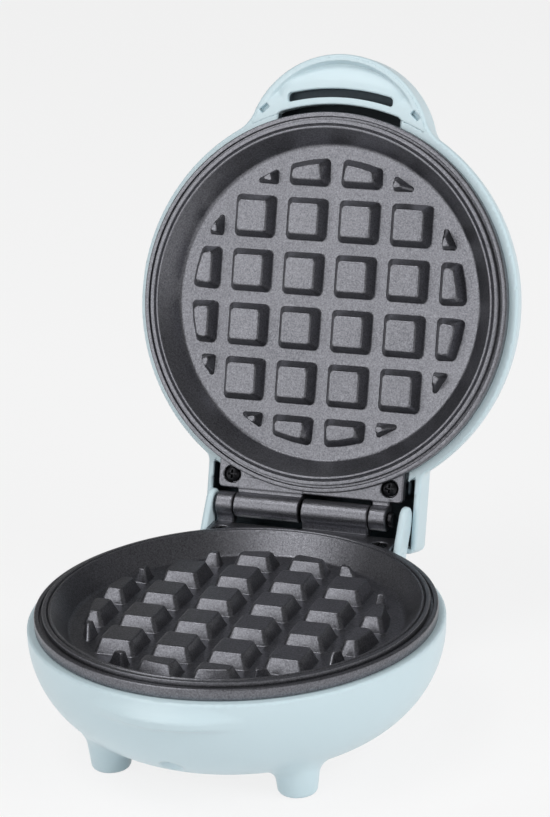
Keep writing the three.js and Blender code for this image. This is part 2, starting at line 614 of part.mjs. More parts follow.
function lidShell() {
  const rim = -casing.rimDrop;
  const seat = -flange.drop - flange.thickness - clearance;
  const outside = joined(bowl(lid, 0, rim), rearBox(0, rim), handleBody(0, rim));
  const open = rim + overrun;
  const hollow = joined(bowl(lid, casing.wall, open), rearBox(box.wall, open), handleBody(handle.wall, open));
  const ledge = joined(rimLedge(lid.radius), ...hookLedges(lid.radius));
  const frontGap = cuboid(-handle.gapHalf, handle.gapHalf, -lid.radius - overrun, -lid.radius / 2,
    rim - casing.rimThickness - casing.wall - overrun, open);
  const panelRoom = post(0, -handle.y, panelTop - clearance, open, handle.radius - handle.wall,
    facets.casing);
  const outerLedge = cut(panelRoom, post(0, 0, panelTop - overrun, open + overrun, panel.inner - clearance,
    facets.casing));
  const flangeRoom = cuboid(-flange.half - clearance, flange.half + clearance, flange.front,
    box.back - box.wall, seat, open);
  const hingeRoom = cuboid(box.wall - box.half, box.half - box.wall, rib.back,
    box.back - box.wall, rim - casing.rimThickness - casing.wall, open);
  const plateBosses = [-flange.screwX, flange.screwX].map((x) =>
    post(x, flange.screwY, box.wall / 2 - box.depth, seat, screwHole + casing.wall));
  const sideRibs = [-1, 1].map((side) => {
    const near = side * (flange.half + clearance);
    const far = near + side * rib.wall;
    return cuboid(Math.min(near, far), Math.max(near, far), rib.front, rib.back,
      box.edge / 2 - box.depth, seat);
  });
  const panelRests = panelRestPlaces.map(([x, y]) =>
    post(x, y, rim - handle.height - handle.edge, panelTop - clearance, panelRest.radius));
  const shell = cut(joined(cut(outside, hollow), cut(ledge, frontGap)), outerLedge, flangeRoom, hingeRoom);
  const plateHoles = [-flange.screwX, flange.screwX].map((x) =>
    post(x, flange.screwY, seat - screw.length, seat + overrun, screwHole));
  const lampHole = post(0, lamp.y, lid.top - lid.crown - overrun, lid.top + casing.wall + overrun,
    lamp.lensRadius + clearance, facets.barrel);
  return cut(joined(shell, ...plateBosses, ...sideRibs, ...panelRests), ...plateHoles, lampHole);
}

// Panel that closes the underside of the handle, with its bar, its slot and the dish for the fingers
const panelTop = -casing.rimDrop - panel.sink - panel.recess - panel.floor;
const panelRestPlaces = arc(0, -handle.y, panelRest.ring, 270 - panelRest.spread, 270 + panelRest.spread,
  panelRest.count);

function handlePanel() {
  const face = -casing.rimDrop - panel.sink;
  const floor = face - panel.recess;
  const edge = handle.radius - handle.wall - clearance;
  const around = (radius, bottom, top) => post(0, 0, bottom, top, radius, facets.casing);
  const blank = cut(post(0, -handle.y, panelTop, face, edge, facets.casing),
    around(panel.inner, panelTop - overrun, face + overrun));
  const dishEdge = edge - panel.rim;
  const bankEdge = panel.slotBack + panel.bank;
  const bank = turned([[0, floor - overrun],
    [bankEdge + panel.bankSlope * (panel.recess + overrun), floor - overrun],
    [bankEdge - panel.bankSlope * overrun, face + overrun], [0, face + overrun]]);
  const dish = cut(turned([[0, floor], [dishEdge - panel.dishWall, floor], [dishEdge, face],
    [dishEdge, face + overrun], [0, face + overrun]]).translate([0, -handle.y, 0]), bank);
  const slot = common(cut(around(panel.slotBack, panelTop - overrun, face + overrun),
    around(panel.slotFront, panelTop - 2 * overrun, face + 2 * overrun)),
  cuboid(-panel.slotHalf, panel.slotHalf, -lid.radius * 2, 0, panelTop - overrun, face + overrun));
  const corners = [-1, 1].map((side) => cuboid(-panel.cornerGap / 2, panel.cornerGap / 2,
    -panel.cornerLength / 2, panel.cornerLength / 2, floor - panel.floor / 2, face + overrun)
    .rotate([0, 0, side * (90 - panel.cornerTurn)])
    .translate([side * panel.cornerX, -panel.cornerY, 0]));
  return cut(blank, dish, slot, ...corners);
}

function hingePin() {
  const { pinLeft, pinRight, y, height, pinRadius, pinHeadRadius, pinHeadLength } = hinge;
  return joined(bar([pinLeft, y, height], [pinRight, y, height], pinRadius, facets.barrel),
    bar([pinRight - pinHeadLength, y, height], [pinRight, y, height], pinHeadRadius, facets.barrel));
}

function footPad() {
  const radius = foot.padRadius - clearance;
  const top = foot.padSeat - foot.bottom - clearance;
  return turned([[0, -foot.bottom - foot.padStand], [radius, -foot.bottom - foot.padStand],
    [radius, top], [0, top]], facets.barrel);
}

// Rubber gland: a flange outside, a neck in the wall and a short sleeve inside
function cordGland() {
  const outer = block.back + clearance;
  const inner = block.back - casing.wall - clearance;
  const neck = inlet.hole - clearance;
  const profile = [
    [inlet.bore, outer + inlet.flangeWidth],
    [inlet.flange - inlet.flangeWidth / 2, outer + inlet.flangeWidth],
    [inlet.flange, outer + inlet.flangeWidth / 2], [inlet.flange, outer], [neck, outer], [neck, inner],
    [inlet.flange, inner], [inlet.flange, inner - inlet.flangeWidth], [neck, inner - inlet.flangeWidth],
    [neck, inner - inlet.sleeve], [inlet.bore, inner - inlet.sleeve],
  ];
  return ring(profile, facets.barrel).rotate([-90, 0, 0]).translate([0, 0, -inlet.z]);
}

function cordClamp() {
  const bottom = clampSeat + clearance;
  const strap = cuboid(-clamp.half, clamp.half, clamp.y - clamp.width / 2, clamp.y + clamp.width / 2,
    bottom, bottom + clamp.thickness);
  const holes = [-clamp.screwX, clamp.screwX].map((x) =>
    post(x, clamp.y, bottom - overrun, bottom + clamp.thickness + overrun, shieldScrewHole));
  return cut(strap, ...holes);
}

function terminalBlock() {
  const floor = base.bottom + casing.wall + clearance;
  const front = terminals.y - terminals.width / 2;
  const back = terminals.y + terminals.width / 2;
  const body = cuboid(-terminals.half, terminals.half, front, back, floor, floor + terminals.height);
  const doors = Array.from({ length: terminals.doors }, (_, i) => {
    const x = (i - (terminals.doors - 1) / 2) * terminals.doorPitch;
    const z = floor + terminals.height / 2;
    return joined(
      bar([x, back - terminals.doorDepth, z], [x, back + overrun, z], terminals.doorRadius, facets.lead),
      post(x, terminals.y, z + terminals.screwDrop, floor + terminals.height + overrun,
        terminals.doorRadius, facets.lead));
  });
  return cut(body, ...doors);
}

function thermostatBody() {
  const { radius, top, bottom, tabWidth, tabThickness, tabLength, tabGap } = thermostat;
  const tabs = [-1, 1].map((side) => {
    const x = side * tabGap / 2;
    return cuboid(x - tabThickness / 2, x + tabThickness / 2, -tabWidth / 2, tabWidth / 2,
      bottom - tabLength, bottom + plate.edge);
  });
  return joined(post(0, 0, bottom, top, radius, facets.barrel), ...tabs);
}

function thermostatStrap() {
  const { bossX, strapWidth, strapThickness, strapHoleX, strapHoleY, bottom } = thermostat;
  const half = bossX + shield.bossRadius;
  const top = bottom - clearance;
  const low = top - strapThickness;
  const strap = prismZ(roundedBox(-half, half, -strapWidth / 2, strapWidth / 2,
    Array(4).fill(shield.bossRadius)), low, top);
  const window = cuboid(-strapHoleX / 2, strapHoleX / 2, -strapHoleY / 2, strapHoleY / 2,
    low - overrun, top + overrun);
  const holes = [-bossX, bossX].map((x) =>
    post(x, 0, low - overrun, top + overrun, shieldScrewHole));
  return cut(strap, window, ...holes);
}

const thermalFuse = () => bar([-fuse.length / 2, fuse.y, fuse.z], [fuse.length / 2, fuse.y, fuse.z],
  fuse.radius);

// Spring clip that holds the fuse against the reflector
function fuseClip() {
  const inner = fuse.radius + clearance;
  const outer = inner + fuse.clipWall;
  const top = shield.bottom - clearance;
  const footReach = outer + fuse.clipFoot;
  const profile = [
    [fuse.y - footReach, top], [fuse.y - footReach, top - fuse.clipWall],
    [fuse.y - outer, top - fuse.clipWall],
    ...arc(fuse.y, fuse.z, outer, 180, 360, facets.corner * 2), [fuse.y + outer, top - fuse.clipWall],
    [fuse.y + footReach, top - fuse.clipWall], [fuse.y + footReach, top], [fuse.y + inner, top],
    ...arc(fuse.y, fuse.z, inner, 360, 180, facets.corner * 2), [fuse.y - inner, top],
  ];
  return prismX(profile, -fuse.clipWidth / 2, fuse.clipWidth / 2);
}

const lensSeat = lid.top + casing.wall - lid.crown;

// Indicator lens: a face in the lid's top, a flange inside and a cup for the neon lamp
function lampLens() {
  const face = lid.top - lid.crown;
  const low = lensSeat + lid.crown + clearance;
  const cup = lamp.lensRadius;
  const bore = cup - lamp.cupWall;
  return turned([
    [0, face], [lamp.lensRadius - lamp.stand, face], [lamp.lensRadius, face + lamp.stand],
    [lamp.lensRadius, low], [lamp.flangeRadius, low], [lamp.flangeRadius, low + lamp.flangeHeight],
    [cup, low + lamp.flangeHeight], [cup, low + lamp.cupHeight], [bore, low + lamp.cupHeight],
    [bore, low + lamp.flangeHeight], [0, low + lamp.flangeHeight],
  ], facets.barrel);
}

function neonLamp() {
  const start = lensSeat + lid.crown + clearance + lamp.flangeHeight + clearance;
  const radius = lamp.lensRadius - lamp.cupWall - clearance;
  return turned([
    [0, start], [radius / 2, start], [radius, start + radius / 2], [radius, start + lamp.bulbLength],
    [0, start + lamp.bulbLength],
  ], facets.boss);
}

// Leads inside the casing, as routes chosen by hand
const pinEnd = heater.legEnd + heater.pinLength + clearance + lead.radius / 2;
const tabSide = thermostat.tabWidth / 2 + clearance;
const blockBack = terminals.y + terminals.width / 2 + clearance;
const routes = {
  lower_lead_left: [[-8, pinEnd, heater.z], [-9.5, 57, -13.2], [-14.5, 56.6, -15], [-17, 53, -21],
    [-16, 45, -28], [-9, 38.5, -31], [-7.6, blockBack, -31]],
  lower_lead_right: [[8, pinEnd, heater.z], [9.5, 57, -13.2], [14.5, 56.6, -15], [17, 53, -21],
    [16, 45, -28], [9, 38.5, -31], [7.6, blockBack, -31]],
  thermostat_lead: [[-8, pinEnd, heater.z], [-9, 57.4, -14.2], [-9.5, 55.5, -16.4], [-8, 50, -19],
    [-7, 44, -23], [-4.5, 20, -24.4], [-4, 11, -24.2], [-4, 6, -22.3], [-4, tabSide, -21.6]],
  fuse_lead: [[8, pinEnd, heater.z], [9, 57.4, -14.2], [10, 55.5, -16.4], [12, 50, -19],
    [15, 43, -22.3], [20, 20, -22.6], [18, -15, -22.6], [12, -30, fuse.z],
    [fuse.length / 2 + clearance, fuse.y, fuse.z]],
};

const leadTube = (points) => tube(points, lead.radius, facets.lead, lead.steps);

// Assembly
const lowerKnuckles = [[hinge.shortLeft, hinge.shortRight], [hinge.longLeft, hinge.longRight]];
const upperKnuckles = [
  [-hinge.farRight, -(hinge.longRight + clearance)],
  [-(hinge.longLeft - knuckleGap), -(hinge.shortRight + clearance)],
];

const screwSeat = -flange.drop - flange.recessDepth + clearance;
const shieldHeadSeat = shield.bottom - clearance;

function flippedScrew(name, look, [x, y], z) {
  const mesh = piece(name, screwBody(shieldScrew), look, [x, y, z]);
  mesh.rotation.x = Math.PI;
  return mesh;
}

function addHalf(group, label, plateBody, shell, hole) {
  group.add(piece(`${label}_plate`, plateBody, 'nonstick'));
  group.add(piece(`${label}_heater`, heaterElement(), 'sheath'));
  group.add(piece(`${label}_heat_shield`, heatShield(hole), 'aluminium'));
  const flip = label === 'upper' ? -1 : 1;
  for (const [side, sign] of [['left', -1], ['right', 1]]) {
    group.add(piece(`${label}_plate_screw_${side}`, screwBody(screw), 'blackSteel',
      [flip * sign * flange.screwX, flange.screwY, screwSeat]));
  }
  shieldPlaces.forEach((place, i) => group.add(
    flippedScrew(`${label}_shield_screw_${i + 1}`, 'steel', place, shieldHeadSeat)));
  group.add(shell);
}

const baseGroup = new THREE.Group();
addHalf(baseGroup, 'lower', wafflePlate(lowerKnuckles, hinge.height, flange.lowerBack),
  piece('base_shell', baseShell(), 'plastic'), shield.lowerHole);
for (const [name, [x, y]] of Object.entries(footPlaces)) {
  baseGroup.add(piece(`foot_pad_${name}`, footPad(), 'rubber', [x, y, 0]));
}
baseGroup.add(piece('hinge_pin', hingePin(), 'blackSteel'));
baseGroup.add(piece('cord_gland', cordGland(), 'rubber'));
baseGroup.add(piece('cord_clamp', cordClamp(), 'phenolic'));
for (const [side, sign] of [['left', -1], ['right', 1]]) {
  baseGroup.add(piece(`cord_clamp_screw_${side}`, screwBody(shieldScrew), 'steel',
    [sign * clamp.screwX, clamp.y, clampSeat + 2 * clearance + clamp.thickness]));
}
baseGroup.add(piece('terminal_block', terminalBlock(), 'ceramic'));
baseGroup.add(piece('lower_lead_left', leadTube(routes.lower_lead_left), 'sleeve'));
baseGroup.add(piece('lower_lead_right', leadTube(routes.lower_lead_right), 'sleeve'));

const facing = new THREE.Group();
addHalf(facing, 'upper', upperWafflePlate(upperKnuckles, plateGap - hinge.height, flange.upperBack),
  piece('lid_shell', lidShell(), 'plastic'), shield.upperHole);
facing.add(piece('handle_panel', handlePanel(), 'plastic'));
facing.add(piece('thermostat', thermostatBody(), 'phenolic'));
facing.add(piece('thermostat_strap', thermostatStrap(), 'steel'));
for (const [side, sign] of [['left', 1], ['right', -1]]) {
  facing.add(flippedScrew(`thermostat_screw_${side}`, 'steel', [sign * thermostat.bossX, 0],
    thermostat.bottom - 2 * clearance - thermostat.strapThickness));
}
facing.add(piece('thermal_fuse', thermalFuse(), 'sheath'));
facing.add(piece('fuse_clip', fuseClip(), 'steel'));
facing.add(piece('lamp_lens', lampLens(), 'lens', [0, lamp.y, 0]));
facing.add(piece('neon_lamp', neonLamp(), 'glass', [0, lamp.y, 0]));
facing.add(piece('thermostat_lead', leadTube(routes.thermostat_lead), 'sleeve'));
facing.add(piece('fuse_lead', leadTube(routes.fuse_lead), 'sleeve'));
facing.position.set(0, -hinge.y, plateGap - hinge.height);
facing.rotation.y = Math.PI;

const lidGroup = new THREE.Group();
lidGroup.add(facing);
lidGroup.position.set(0, hinge.y, hinge.height);
lidGroup.rotation.x = -hinge.openAngle * degrees;

const waffleMaker = new THREE.Group();
waffleMaker.add(baseGroup, lidGroup);
waffleMaker.updateMatrixWorld(true);
const bounds = new THREE.Box3().setFromObject(waffleMaker, true);
const middle = bounds.getCenter(new THREE.Vector3());
waffleMaker.position.set(-middle.x, -middle.y, -bounds.min.z);
waffleMaker.updateMatrixWorld(true);

export default waffleMaker;
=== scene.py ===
# %% [markdown]
# A mini waffle maker, standing open.
#
# The model that is loaded here gives every piece its real size and place. This lesson dresses it:
# the moulded shells get their soft edges and fillets, the cast plates their pegs and grooves, and
# every piece gets a finish made of nodes.

# %% The model
import json
from functools import reduce
from itertools import product
from math import cos, pi, radians, sin

import bpy
import numpy as np
from mathutils import Matrix, Vector


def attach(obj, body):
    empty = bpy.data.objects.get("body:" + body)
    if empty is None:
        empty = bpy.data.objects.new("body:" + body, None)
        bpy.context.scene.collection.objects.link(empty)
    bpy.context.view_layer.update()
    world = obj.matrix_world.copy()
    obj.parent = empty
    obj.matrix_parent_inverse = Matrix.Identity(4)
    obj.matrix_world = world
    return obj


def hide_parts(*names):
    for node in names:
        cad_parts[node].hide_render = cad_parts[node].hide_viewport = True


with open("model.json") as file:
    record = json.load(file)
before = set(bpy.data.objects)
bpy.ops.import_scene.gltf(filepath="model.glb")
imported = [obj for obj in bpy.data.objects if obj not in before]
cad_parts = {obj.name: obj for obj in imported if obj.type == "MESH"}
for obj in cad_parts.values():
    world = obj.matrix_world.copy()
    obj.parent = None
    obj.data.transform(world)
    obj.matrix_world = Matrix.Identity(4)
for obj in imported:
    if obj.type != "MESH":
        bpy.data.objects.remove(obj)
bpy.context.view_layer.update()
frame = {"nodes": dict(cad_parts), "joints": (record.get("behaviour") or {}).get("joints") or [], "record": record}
print("pieces in the model:", len(frame["nodes"]))

# %% [markdown]
# The camera. A product photographer stands about 0.9 m away with a long lens, so the rims stay
# nearly round and nothing bulges. The lens is given for the long side of an upright picture.

# %% The camera
camera_at = Vector((0.28356, -0.75848, 0.38139))
camera_turn = {"azimuth": 20.28, "elevation": 19.66, "roll": 2.06}
camera_lens, camera_sensor = 127.6, 36

camera_data = bpy.data.cameras.new("camera")
camera_data.sensor_fit = "AUTO"
camera_data.sensor_width = camera_sensor
camera_data.lens = camera_lens
camera = bpy.data.objects.new("camera", camera_data)
aim = Matrix.Rotation(radians(camera_turn["azimuth"]), 4, "Z")
aim @= Matrix.Rotation(radians(90 - camera_turn["elevation"]), 4, "X")
aim @= Matrix.Rotation(radians(-camera_turn["roll"]), 4, "Z")
camera.matrix_world = Matrix.Translation(camera_at) @ aim
bpy.context.scene.collection.objects.link(camera)
bpy.context.scene.camera = camera
bpy.context.scene.view_settings.view_transform = "Standard"
print("camera distance to the middle:", round(camera_at.length, 3), "m")

# %% [markdown]
# Shader maths. A node tree is easier to read as an expression, so this class wraps one socket and
# lets Python's operators add the Math nodes. Colours go through Mix nodes and vectors through
# Vector Math, because a Math node would turn a colour into grey.

# %% A socket that can be calculated with
class Value:
    """A socket of a material, which Python's operators work on."""

    def __init__(self, tree, socket=None):
        self.tree = tree
        self.socket = socket

    def node(self, kind, settings=None, sockets=None, out=0):
        """Adds a node: its type, its settings, the values or links of its sockets, its output."""
        made = self.tree.nodes.new(kind)
        for name, setting in (settings or {}).items():
            setattr(made, name, setting)
        for name, value in (sockets or {}).items():
            if isinstance(value, Value):
                self.tree.links.new(value.socket, made.inputs[name])
            else:
                made.inputs[name].default_value = value
        return Value(self.tree, made.outputs[out])

    def math(self, operation, *values):
        return self.node("ShaderNodeMath", {"operation": operation}, dict(enumerate(values)))

    def between(self, first, second):
        """A colour between two, with this value as the share of the second."""
        share, colour_a, colour_b, colour_out = 0, 6, 7, 2
        return self.node("ShaderNodeMix", {"data_type": "RGBA"}, {
            share: self, colour_a: (*first, 1), colour_b: (*second, 1)}, out=colour_out)

    def stretched(self, x, y, z):
        """This vector with its three parts made longer or shorter."""
        return self.node("ShaderNodeVectorMath", {"operation": "MULTIPLY"}, {0: self, 1: (x, y, z)})

    def __add__(self, other): return self.math("ADD", self, other)
    def __radd__(self, other): return self.math("ADD", other, self)
    def __sub__(self, other): return self.math("SUBTRACT", self, other)
    def __rsub__(self, other): return self.math("SUBTRACT", other, self)
    def __mul__(self, other): return self.math("MULTIPLY", self, other)
    def __rmul__(self, other): return self.math("MULTIPLY", other, self)


class Finish:
    """A material whose shader keeps its constants, with helpers for what varies over a surface."""

    def __init__(self, name, **constants):
        self.material = bpy.data.materials.new(name)
        self.material.use_nodes = True
        self.tree = self.material.node_tree
        self.shader = self.tree.nodes["Principled BSDF"]
        self.start = Value(self.tree)
        self.place = self.start.node("ShaderNodeTexCoord", out="Object")
        for name, value in constants.items():
            self.input(name).default_value = value

    def input(self, name):
        return self.shader.inputs[name.replace("_", " ")]

    def vary(self, **values):
        for name, value in values.items():
            self.tree.links.new(value.socket, self.input(name))

    def noise(self, size, detail=2, roughness=0.5):
        """Cloudy noise from 0 to 1, with lumps of a size in metres."""
        return self.start.node("ShaderNodeTexNoise", sockets={
            "Vector": self.place, "Scale": 1 / size, "Detail": detail, "Roughness": roughness})

    def relief(self, height, depth):
        """Lets a height from 0 to 1 stand out by a depth in metres."""
        self.vary(Normal=height.node("ShaderNodeBump", sockets={
            "Height": height, "Distance": depth}))


print("helpers for finishes: Value and Finish")

# %% [markdown]
# The glossy casing. The real shells are moulded in one colour of glossy plastic, so light and
# shade do most of the work. A mould is never perfectly smooth: a weak ripple bends the
# highlights, and the gloss itself drifts a little where the plastic cooled more slowly.

# %% Glossy casing
casing = Finish("glossy_casing", IOR=1.5, Coat_Roughness=0.2)
clouds = casing.noise(0.03, detail=3)
ripple = casing.noise(0.006)
casing.vary(
    Base_Color=clouds.between((0.595, 0.735, 0.785), (0.625, 0.76, 0.81)),
    Roughness=clouds * 0.08 + ripple * 0.05 + 0.3,
    Coat_Weight=clouds * 0.1 + 0.05)
casing.relief(ripple, 0.00002)
print("finish:", casing.material.name)

# %% [markdown]
# Painted shade inside the shells. The plastic in a hollow has the same colour as outside, but little
# light gets in, so its faces get a dark, dull finish that paints that shade on them.

# %% Painted shade inside the casing
painted_shade_finish = Finish("casing_painted_shade", IOR=1.45)
shade_grain = painted_shade_finish.noise(0.0012, detail=4)
painted_shade_finish.vary(
    Base_Color=shade_grain.between((0.045, 0.06, 0.072), (0.07, 0.092, 0.108)),
    Roughness=shade_grain * 0.15 + 0.62)
painted_shade_finish.relief(shade_grain, 0.00006)
print("finish:", painted_shade_finish.material.name)

# %% [markdown]
# The non-stick coating. It is sprayed on cast aluminium and baked. The spray dries as a fine
# speckle, pale dots on dark, and metal flakes in it give a broad, dim mirror. Three sizes of noise
# share the work: the finest speckles the colour, the middle one is the flakes, which change how
# sharply the surface shines, and both of them dent it. The broadest is the wear, which makes
# whole patches a little paler and duller.

# %% Non-stick coating
coating = Finish("nonstick_coating", IOR=1.45)
speckle = coating.noise(0.0005, detail=3, roughness=0.7)
flakes = coating.noise(0.0011)
wear = coating.noise(0.02, detail=4)
spots = (speckle - 0.5) * 1.9 + wear * 0.3 + 0.35
coating.vary(
    Base_Color=spots.between((0.08, 0.081, 0.092), (0.27, 0.272, 0.296)),
    Metallic=flakes * 0.12 + 0.85,
    Roughness=flakes * 0.17 + wear * 0.06 + 0.23)
coating.relief(speckle * 0.6 + flakes * 0.4, 0.00011)
print("finish:", coating.material.name)

# %% [markdown]
# Metals. The plate screws and the hinge pin are steel with a black oxide skin, which is thin: it
# shines like dark metal and gets brighter where a finger or a driver has rubbed it. The screws
# inside are plated with zinc, the reflectors are aluminium sheet, and heat has darkened the
# sheaths of the heaters.

# %% Metals
def metal(name, dark, bright, rough, size, depth):
    """A metal with fine grain: two colours, a roughness, the size and the depth of the grain."""
    made = Finish(name, Metallic=1.0)
    fine = made.noise(size, detail=3)
    broad = made.noise(size * 12)
    made.vary(Base_Color=(fine * 0.5 + broad * 0.5).between(dark, bright),
              Roughness=broad * 0.15 + fine * 0.08 + rough)
    made.relief(fine, depth)
    return made


blackened = metal("blackened_steel", (0.018, 0.018, 0.02), (0.05, 0.05, 0.055),
                  rough=0.28, size=0.0004, depth=0.00002)
plated = metal("zinc_plated_steel", (0.48, 0.48, 0.49), (0.62, 0.62, 0.61),
               rough=0.26, size=0.0005, depth=0.00001)
sheet = metal("aluminium_sheet", (0.68, 0.68, 0.69), (0.8, 0.8, 0.8),
              rough=0.3, size=0.0008, depth=0.00001)
sheath = metal("heater_sheath", (0.26, 0.25, 0.25), (0.45, 0.44, 0.43),
               rough=0.42, size=0.0006, depth=0.00003)
print("finishes:", [made.material.name for made in (blackened, plated, sheet, sheath)])

# %% [markdown]
# Rubber, phenolic, ceramic and the braided sleeve are dull: light sinks into them and spreads.
# The first three only differ in colour, roughness and the size of their grain. The sleeve is
# woven, and a small chequer stands for its threads.

# %% Dull finishes
def dull(name, dark, bright, rough, size, depth):
    made = Finish(name)
    grain = made.noise(size, detail=4)
    broad = made.noise(size * 15)
    made.vary(Base_Color=(grain * 0.6 + broad * 0.4).between(dark, bright),
              Roughness=grain * 0.12 + rough)
    made.relief(grain, depth)
    return made


pad_rubber = dull("pad_rubber", (0.47, 0.58, 0.62), (0.54, 0.65, 0.69),
                  rough=0.72, size=0.0005, depth=0.00004)
phenolic = dull("phenolic", (0.024, 0.019, 0.016), (0.045, 0.036, 0.03),
                rough=0.5, size=0.0006, depth=0.00003)
ceramic = dull("ceramic", (0.74, 0.71, 0.64), (0.84, 0.82, 0.76),
               rough=0.45, size=0.0007, depth=0.00002)

threads_per_metre = 1400
sleeve = Finish("braided_sleeve")
threads = sleeve.place.stretched(*[threads_per_metre] * 3)
weave = sleeve.start.node("ShaderNodeTexChecker", sockets={"Vector": threads, "Scale": 1.0},
                          out="Fac")
sleeve.vary(Base_Color=weave.between((0.62, 0.58, 0.5), (0.82, 0.78, 0.7)),
            Roughness=sleeve.noise(0.001) * 0.1 + 0.8)
sleeve.relief(weave, 0.00006)
print("finishes:", [made.material.name for made in (pad_rubber, phenolic, ceramic, sleeve)])

# %% [markdown]
# The indicator lens is a clear blue plastic over a small neon lamp. Both are see-through, so they
# need transmission, and a thin cloud of roughness keeps the lens from looking like a gem.

# %% Lens and lamp glass
def clear(name, colour, rough):
    made = Finish(name, Transmission_Weight=0.75, IOR=1.47)
    cloud = made.noise(0.002, detail=3)
    made.vary(Base_Color=cloud.between(colour, [part * 0.8 for part in colour]),
              Roughness=cloud * 0.12 + rough)
    return made


lens = clear("blue_lens", (0.08, 0.26, 0.7), rough=0.12)
bulb = clear("lamp_glass", (0.9, 0.72, 0.5), rough=0.05)
print("finishes:", lens.material.name, bulb.material.name)

# %% [markdown]
# Every piece of the model names the finish that it wants. The pieces that this lesson doesn't
# make anew, such as the heaters and the leads, keep their own surface and are dressed here.

# %% The finishes on the model's own pieces
finishes = {"casing": casing, "nonstick": coating, "steel": plated, "black_steel": blackened,
            "reflector": sheet, "sheath": sheath, "pad": pad_rubber, "phenolic": phenolic,
            "ceramic": ceramic, "sleeve": sleeve, "lens": lens, "bulb": bulb}
for subpart in frame["record"]["subparts"]:
    dressed = frame["nodes"][subpart["node"]].data.materials
    dressed.clear()
    dressed.append(finishes[subpart["material_slot"]].material)
print("finishes on the model's own pieces:", len(finishes))

# %% [markdown]
# Shapes from distances. A moulded shell is hard to model from faces, because every rib and foot
# melts into the wall. It is easy as a distance: a function says how far a point is from the
# surface, joining is the smaller distance, cutting is the larger one, and a fillet is a rounded
# corner between the two. The points may be whole grids, so numpy does the work.

# %% Distances and how they join
def length(*parts):
    return np.sqrt(reduce(np.add, [part ** 2 for part in parts]))


def join(first, second, fillet=0.0):
    """Both shapes, with a hollow fillet of that radius where they meet."""
    if not fillet:
        return np.minimum(first, second)
    corner = length(np.maximum(fillet - first, 0), np.maximum(fillet - second, 0))
    return np.maximum(fillet, np.minimum(first, second)) - corner


def keep(first, second, edge=0.0):
    """What both shapes share, with an edge of that radius."""
    return -join(-first, -second, edge)


def cut(first, second, edge=0.0):
    """The first shape without the second, with an edge of that radius."""
    return keep(first, -second, edge)


print("distance of the point (3, 4) from a disc of radius 2:", float(length(3.0, 4.0) - 2))

# %% [markdown]
# A few simple shapes are enough to build on: a slab, a round corner between two walls, a box, an
# upright post, and any flat outline, which can be pushed sideways or turned about an axis.

# %% Simple shapes
def between(value, low, high):
    return np.abs(value - (low + high) / 2) - (high - low) / 2


def round_corner(first, second, radius):
    """Two walls with an arc between them, counted from the middle of the arc."""
    return length(np.maximum(first, 0), np.maximum(second, 0)) - radius


def cuboid(point, low, high, edge=0.0):
    """A box between two corners, with round edges."""
    beyond = [between(v, a, b) + edge for v, a, b in zip(point, low, high)]
    outside = length(*[np.maximum(part, 0) for part in beyond])
    return outside + np.minimum(reduce(np.maximum, beyond), 0) - edge


def post(x, y, radius, at):
    return length(x - at[0], y - at[1]) - radius


def outline(across, up, corners):
    """A flat shape through corners: minus inside, plus outside."""
    across, up = np.broadcast_arrays(across, up)
    nearest, inside = np.inf, -1.0
    for (ax, ay), (bx, by) in zip(corners, [corners[-1], *corners[:-1]]):
        edge_x, edge_y = bx - ax, by - ay
        from_x, from_y = across - ax, up - ay
        share = np.clip((from_x * edge_x + from_y * edge_y) / (edge_x ** 2 + edge_y ** 2), 0, 1)
        nearest = np.minimum(nearest, length(from_x - edge_x * share, from_y - edge_y * share))
        passed = (up >= ay) & (up < by) | (up < ay) & (up >= by)
        left = (edge_x * from_y > edge_y * from_x) == (by > ay)
        inside = np.where(passed & left, -inside, inside)
    return nearest * -inside


unit_square = [(0, 0), (1, 0), (1, 1), (0, 1)]
print("the middle of a square of side 1 lies at", float(outline(0.5, 0.5, unit_square)))

# %% [markdown]
# From a distance to a mesh, the fine part. The points of a rough mesh are drawn onto the true
# surface, evened out and drawn on again. Which way to draw them is told by the slope of the
# distance, which also gives each point its exact normal, so highlights run smoothly.

# %% Points on the surface of a distance
def slope(field, points, step):
    sides = [field(*(points + move).T) - field(*(points - move).T) for move in np.eye(3) * step]
    return np.stack(sides, axis=1) / (2 * step)


def facing(field, points, step):
    """The slope with a length of 1: the normal of the surface."""
    rise = slope(field, points, step / 10)
    return rise / np.maximum(np.linalg.norm(rise, axis=1), 1e-9)[:, None]


def onto_surface(field, points, step, times):
    for _ in range(times):
        away = field(*points.T)
        rise = slope(field, points, step / 10)
        move = rise * (away / np.maximum((rise ** 2).sum(axis=1), 0.05))[:, None]
        points = points - np.clip(move, -step / 2, step / 2)
    return points


def evened(field, points, faces, step):
    """Each point moves along the surface towards the middle of its neighbours."""
    total, count = np.zeros_like(points), np.zeros(len(points))
    for turn in range(4):
        here, there = faces[:, turn], faces[:, (turn + 1) % 4]
        for first, second in ((here, there), (there, here)):
            count += np.bincount(first, minlength=len(points))
            for axis in range(3):
                total[:, axis] += np.bincount(first, points[second, axis], len(points))
    move = total / count[:, None] - points
    normal = facing(field, points, step)
    move -= normal * (move * normal).sum(axis=1)[:, None]
    return onto_surface(field, points + move * 0.6, step, 2)


print("helpers for a surface:", [made.__name__ for made in (slope, facing, onto_surface, evened)])

# %% [markdown]
# The rough mesh comes from a grid. The space is divided into small cells. Each cell that the
# surface crosses gets one point, and each grid line that the surface crosses gets one face
# between its four cells. Smaller cells keep more of the shape and take longer.

